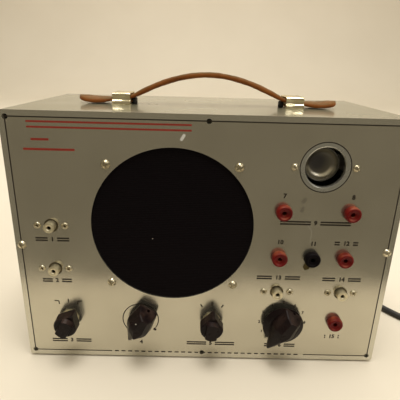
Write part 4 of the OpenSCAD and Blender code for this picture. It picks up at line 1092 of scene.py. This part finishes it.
# %% Tip-jack mouldings
JACK_BORE_R = 1.75
JACK_NECK_R = 4.0
JACK_NECK = [(JACK_BORE_R, -2.2), (JACK_NECK_R, -2.2)]
JACK_HEAD = [
    (5.9, 0.0), (6.2, 0.3), (6.3, 0.8), (6.3, 4.6), (6.15, 5.2), (5.8, 5.7), (5.3, 6.05), (4.8, 6.1),
    (4.4, 5.9), (4.0, 5.4), (3.4, 4.9), (2.6, 4.6), (JACK_BORE_R + 0.15, 4.5), (JACK_BORE_R, 4.2),
    (JACK_BORE_R, -2.2),
]
JACKS = ("upper_left", "upper_right", "lower_left", "ground", "lower_right", "bottom")
for name in (place + "_tip_jack" for place in JACKS):
    tint, seat = ("black", 0.5) if name == "ground_tip_jack" else ("red", 0.0)
    head = [(radius, max(out, seat) if out >= 0 else out) for radius, out in JACK_HEAD]
    outline = JACK_NECK + [(JACK_NECK_R, seat)] + head
    moulded = piece_from(name + "_head", *lathe(outline, middle(name), 72), tint + "_moulding")
    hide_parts(name)
print(len(JACKS), "tip-jack heads")

# %% [markdown]
# ### Phono mouths
# A phono jack's barrel is drawn from thin sheet, and its mouth is rolled inwards over the insulator. The
# rolled edge is a round bead that mirrors the bench, so it is a piece of its own with a true section.

# %% Phono mouths
MOUTH = [
    (1.5, 3.9), (1.5, 5.0), (1.75, 5.6), (2.2, 5.95), (2.8, 6.1), (3.4, 5.95), (3.9, 5.55), (4.2, 4.9),
    (4.25, 4.2), (4.15, 3.9),
]
mouth_parts = [lathe(MOUTH, middle(name), 48) for name in PHONOS]
mouths = piece_from("phono_mouths", *add_up(mouth_parts), "jack_plate")
print(len(PHONOS), "rolled mouths")

# %% [markdown]
# ### Eyelets
# Each jack is held by two eyelets: short brass tubes whose front ends are rolled over into a ring,
# so a dark hole shows in the middle of each. Their back ends are riveted flat behind the jack's sheet.
# A rolled end is round in every section, so they are spun too.

# %% Eyelets
EYELET_PITCH = 21.8
EYELET = [
    (0.0, -5.0), (2.4, -5.0), (2.4, -4.0), (1.48, -4.0), (1.48, 0.0), (2.8, 0.0), (2.8, 0.2), (2.55, 0.8),
    (2.0, 1.25), (1.5, 1.3), (1.1, 0.9), (0.95, 0.2), (0.95, -2.4), (0.0, -2.4),
]
eyelet_parts = []
for name in PHONOS:
    right, up = middle(name)
    for side in (-0.5, 0.5):
        eyelet_parts.append(lathe(EYELET, (right + side * EYELET_PITCH, up), 40))
eyelets = piece_from("eyelets", *add_up(eyelet_parts), "nickel_plate")
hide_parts("rivets")
print(len(eyelet_parts), "eyelets")

# %% [markdown]
# ### Printed marks
# The panel's marks are silk-screened ink. Each is a very thin raised shape, so that it stays crisp at
# any distance: border lines, the selectors' ticks, the gain control's arc and plain dial numbers.
# Where a maker would print words there are only plain rules and numbers.

# %% Printed lines
INK_T = 0.05
ink_points, ink_faces = [], []


def ink_strip(path, width):
    """Adds a flat strip of ink along a path of panel places, as a thin solid."""
    start = len(ink_points)
    for i, (right, up) in enumerate(path):
        before, after = path[max(i - 1, 0)], path[min(i + 1, len(path) - 1)]
        run = Vector((after[0] - before[0], after[1] - before[1])).normalized()
        side = Vector((-run.y, run.x)) * width / 2
        for sign in (-1, 1):
            for out in (0.005, INK_T):
                ink_points.append(on_panel(right + sign * side.x, up + sign * side.y, out))
    for i in range(len(path) - 1):
        a, b = start + 4 * i, start + 4 * (i + 1)
        ink_faces.extend([(a + 1, b + 1, b + 3, a + 3), (a, a + 2, b + 2, b),
                          (a, b, b + 1, a + 1), (a + 2, a + 3, b + 3, b + 2)])
    last = start + 4 * (len(path) - 1)
    ink_faces.extend([(start, start + 1, start + 3, start + 2), (last, last + 2, last + 3, last + 1)])


def flush_ink(name, finish_name):
    """Makes one piece of the strips so far and starts a new list."""
    piece = piece_from(name, ink_points, ink_faces, finish_name, smooth=False)
    ink_points.clear()
    ink_faces.clear()


BORDER_W = 0.9
GAP_LEFT, GAP_RIGHT = -80, 90.5
left, right = -CASE_W / 2 + BORDER_INSET, CASE_W / 2 - BORDER_INSET
bottom, top = BORDER_INSET, CASE_H - BORDER_INSET
for line in (
    [(left, bottom), (left, top)], [(right, bottom), (right, top)], [(left, top), (right, top)],
    [(left, bottom), (GAP_LEFT, bottom)], [(GAP_RIGHT, bottom), (right, bottom)],
):
    ink_strip(line, BORDER_W)
flush_ink("border_line", "panel_ink_and_shadow")
print("border printed")

# %% [markdown]
# The selectors have three ticks each: one above and one at each side. The input selector's side ticks
# are kinked and end level. The gain control has a fine arc that ends in a thicker mark at full gain.
# The gap round the tuning eye's ring is filled with old lacquer, and just inside it a dark line of ink is
# painted shadow of the gap.


# %% Ticks and arc
def clock(control, degrees, radius):
    """A place at a clockwise angle from the top and a radius round a control."""
    right, up = CONTROLS[control]
    angle = math.radians(degrees)
    return right + radius * math.sin(angle), up + radius * math.cos(angle)


TICK_END_R = 18.8
TICK_W = 1.0
for side in (-1, 1):
    knee = clock("input_selector", side * 26, 18.4)
    level_end = (knee[0] + side * 3.6, knee[1] + 0.3)
    ink_strip([clock("input_selector", side * 30, 15.5), knee, level_end], TICK_W)
    ink_strip([clock("function_selector", side * 31, radius) for radius in (15.6, TICK_END_R)], 1.1)
for control in ("input_selector", "function_selector"):
    ink_strip([clock(control, 0, radius) for radius in (15.0, TICK_END_R)], TICK_W)
ARC_R = 15.25
ink_strip([clock("gain", a, ARC_R) for a in range(-140, 128, 4)], 0.8)
ink_strip([clock("gain", a, ARC_R + 0.5) for a in (126, 130, 134)], 2.6)
# The dark ring just inside the eye ring's gap is painted shadow of that gap; the other fills it with lacquer.
RING_SHADOW_AND_FILLER = [("ring_gap_shadow", "panel_ink_and_shadow", 19.35), ("gap_filler", "panel_lacquer", 20.1)]
for name, finish_name, radius in RING_SHADOW_AND_FILLER:
    turn = circle(EYE, radius, 72)
    ink_strip(turn + turn[:1], 0.8)
    flush_ink(name, finish_name)
print("ticks and arc printed")

# %% [markdown]
# Numbers are text objects, turned into meshes so that they need no font later. The attenuator counts
# from 0 to 10 round its dial.


# %% Numbers
def number(text, place, height):
    """A printed number, centred on a place of the panel, as a thin mesh."""
    data = bpy.data.curves.new("number", "FONT")
    data.body = text
    data.size = height * MM / 0.72
    data.align_x = "CENTER"
    data.align_y = "CENTER"
    data.extrude = INK_T * MM / 2
    data.resolution_u = 3
    data.offset = 0.065 * height * MM
    letters = add_piece("number", data)
    bpy.context.view_layer.update()
    mesh = bpy.data.meshes.new_from_object(letters)
    bpy.data.objects.remove(letters)
    upright = Matrix.Rotation(math.pi / 2, 4, "X")
    mesh.transform(Matrix.Translation(on_panel(*place, INK_T / 2 + 0.005)) @ upright)
    return mesh


def inked(name, meshes):
    """One piece of ink from several meshes."""
    work = bmesh.new()
    for mesh in meshes:
        work.from_mesh(mesh)
    whole = bpy.data.meshes.new(name)
    work.to_mesh(whole)
    work.free()
    piece = add_piece(name, whole)
    give_finish(piece, "panel_ink_and_shadow")
    return piece


DIAL_R = 19.6
DIGIT_H = 2.5
digits = [number(str(n), clock("attenuator", -150 + 30 * n, DIAL_R), DIGIT_H) for n in range(11)]
dial_numbers = inked("dial_numbers", digits)
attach(dial_numbers, "instrument")
print("dial numbers printed")

# %% [markdown]
# Each control and jack carries a plain number between short rules, one pair at each side of it where
# there is room.

# %% Numbers between rules
LEGENDS = {
    "1": ((-122.5, 112.5), 27), "2": ((-122.0, 75.2), 24), "3": ((-114.6, 15.5), 34),
    "4": ((-53.6, 15.0), 9), "5": ((7.4, 15.0), 42), "6": ((68.4, 14.6), 27), "7": ((60.2, 153.6), 6),
    "8": ((113.4, 153.6), 6), "9": ((86.5, 131.5), 56), "10": ((60.2, 114.5), 11),
    "11": ((87.0, 113.6), 10), "12": ((113.4, 114.5), 19), "13": ((61.5, 82.2), 36),
    "14": ((114.2, 81.6), 32), "15": ((113.4, 24.8), 13),
}
LEGEND_H = 3.6
LEGEND_RULE_W = 1.3
plates = []
for text, (place, width) in LEGENDS.items():
    plates.append(number(text, place, LEGEND_H))
    gap = 2.2 + 1.6 * len(text)
    for side in (-1, 1):
        if width / 2 > gap + 1.0:
            for up in (place[1] - 1.05, place[1] + 1.05):
                rule = [(place[0] + side * gap, up), (place[0] + side * width / 2, up)]
                ink_strip(rule, LEGEND_RULE_W)
legend_numbers = inked("legend_numbers", plates)
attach(legend_numbers, "instrument")
flush_ink("legend_rules", "panel_ink_and_shadow")
print(len(LEGENDS), "numbers printed")

# %% [markdown]
# The title's place holds a plain red trim of two long rules over two short ones. A dashed rule fills
# the border's gap at the bottom.

# %% Trim rules
TRIM_RULES = [
    (202.0, -132.8, -12.6, 1.3), (206.0, -132.8, -12.6, 1.3), (193.0, -130.6, -117.5, 1.6),
    (185.6, -137.0, -99.0, 1.6),
]
for up, start, end, width in TRIM_RULES:
    ink_strip([(start, up), (end, up)], width)
flush_ink("red_trim", "red_ink")
DASHES = 28
DASH_LEN = 3.6
DASHED_FROM = -77.5
DASHED_LEN = 165.5
for i in range(DASHES):
    start = DASHED_FROM + i * DASHED_LEN / DASHES
    ink_strip([(start, bottom), (start + DASH_LEN, bottom)], 1.2)
flush_ink("dashed_border", "panel_ink_and_shadow")
print("trim printed")

# %% [markdown]
# ### Index dot and painted highlight
# The gain knob has a worn dot of white paint at its pointer's tip, and on its grip a small white dome
# that is a painted highlight. The tip's dot is a low dome, as thick paint dries with a rounded top, and
# the highlight has the same shape. A speck of lint sits on the grille cloth.

# %% Index dot and painted highlight
# The first entry is a painted highlight on the grip; the second is the worn paint at the pointer's tip.
PAINT_DOT_AND_HIGHLIGHT = [((-54.9, 46.2, 17.6), 0.55), ((-58.2, 31.5, 17.6), 0.7)]
dot_and_highlight_parts = []
for (right, up, out), radius in PAINT_DOT_AND_HIGHLIGHT:
    turn = [math.radians(a) for a in range(-90, 91, 30)]
    dome = [(radius * math.cos(a), out + 0.35 * math.sin(a)) for a in turn]
    dot_and_highlight_parts.append(lathe(dome, (right, up), 16))
LINT = [(0.0, -1.45), (0.3, -1.5), (0.42, -1.7), (0.0, -1.9)]
lint = piece_from("lint", *lathe(LINT, (-42.5, 114.3), 12), "white_paint")
dot_and_highlight_piece = piece_from("gain_dot_and_highlight", *add_up(dot_and_highlight_parts), "white_paint", body="gain_control")
print(len(PAINT_DOT_AND_HIGHLIGHT), "dot_and_highlight_piece")

# %% [markdown]
# ## Floor
# The bench is a plain pale top that ends a hand's breadth in front of the panel, with a pale wall far
# behind.

# %% Floor
BENCH_FRONT = 0.138
CURVE_FROM = 2.4
CURVE_R = 0.8
WALL_TOP = 4.0
BENCH_TONES = ((0.82, 0.745, 0.62), (0.8, 0.725, 0.6))


def bench_piece():
    """A wide flat bench top with a rounded front edge, and a gentle curve up to the wall behind."""
    front = PANEL_Y - BENCH_FRONT
    profile = [(front, -0.03), (front, -0.008), (front + 0.003, -0.002), (front + 0.01, 0.0)]
    profile.append((CURVE_FROM, 0.0))
    for angle in (math.radians(degrees) for degrees in range(10, 91, 10)):
        profile.append((CURVE_FROM + CURVE_R * math.sin(angle), CURVE_R - CURVE_R * math.cos(angle)))
    profile.append((CURVE_FROM + CURVE_R, WALL_TOP))
    points = [Vector((x, y, z - 0.0002)) for y, z in profile for x in (-4.0, 4.0)]
    faces = [(2 * i, 2 * i + 1, 2 * i + 3, 2 * i + 2) for i in range(len(profile) - 1)]
    return piece_from("bench", points, faces, "bench_top", body=None)


finish("bench_top", {"Roughness": 0.7}, two_tones(3.0, *BENCH_TONES), None, grainy(60.0), 0.05, 0.0005)
bench = bench_piece()
print("bench laid")

# %% [markdown]
# ## Lamps and room
# One large soft lamp lights the front and the top, a weaker one the right side, and a third the wall.
# What lies in front of the bench is a dimmer room, and the satin panel shows it: its lower third
# mirrors the bench and the rest the room.


# %% Lamps and room
def soft_lamp(name, place, target, size, power):
    """A square soft lamp that points at a target."""
    data = bpy.data.lights.new(name, "AREA")
    data.size = size
    data.energy = power
    data.color = (1.0, 0.97, 0.92)
    lamp = add_piece(name, data)
    lamp.location = place
    lamp.rotation_euler = (Vector(target) - Vector(place)).to_track_quat("-Z", "Y").to_euler()


soft_lamp("key_lamp", (0.0, -0.35, 2.1), (0, 0, 0.1), 1.0, 25)
soft_lamp("fill_lamp", (1.2, -1.0, 1.3), (0, 0, 0.1), 1.0, 6)
soft_lamp("wall_lamp", (0.0, 1.2, 2.4), (0, 2.8, 0.6), 3.0, 40)

ROOM_DIM = (0.225, 0.195, 0.14)
ROOM_PALE = (0.62, 0.57, 0.44)


def light_room():
    """The room's own light: dim in front of the bench, paler above and behind."""
    world = bpy.data.worlds.new("room")
    world.use_nodes = True
    tree = world.node_tree
    gaze = add(tree, "SeparateXYZ", {0: add(tree, "TexCoord").outputs["Generated"]}).outputs
    rear = calc(tree, "ADD", gaze["Y"], times(tree, gaze["Z"], 1.2))
    sky = blend(tree, between(tree, rear, -0.1, 0.9), ROOM_DIM, ROOM_PALE)
    tree.links.new(sky, tree.nodes["Background"].inputs["Color"])
    bpy.context.scene.world = world


light_room()
bpy.context.scene.view_settings.view_transform = "Standard"
print("room lit")
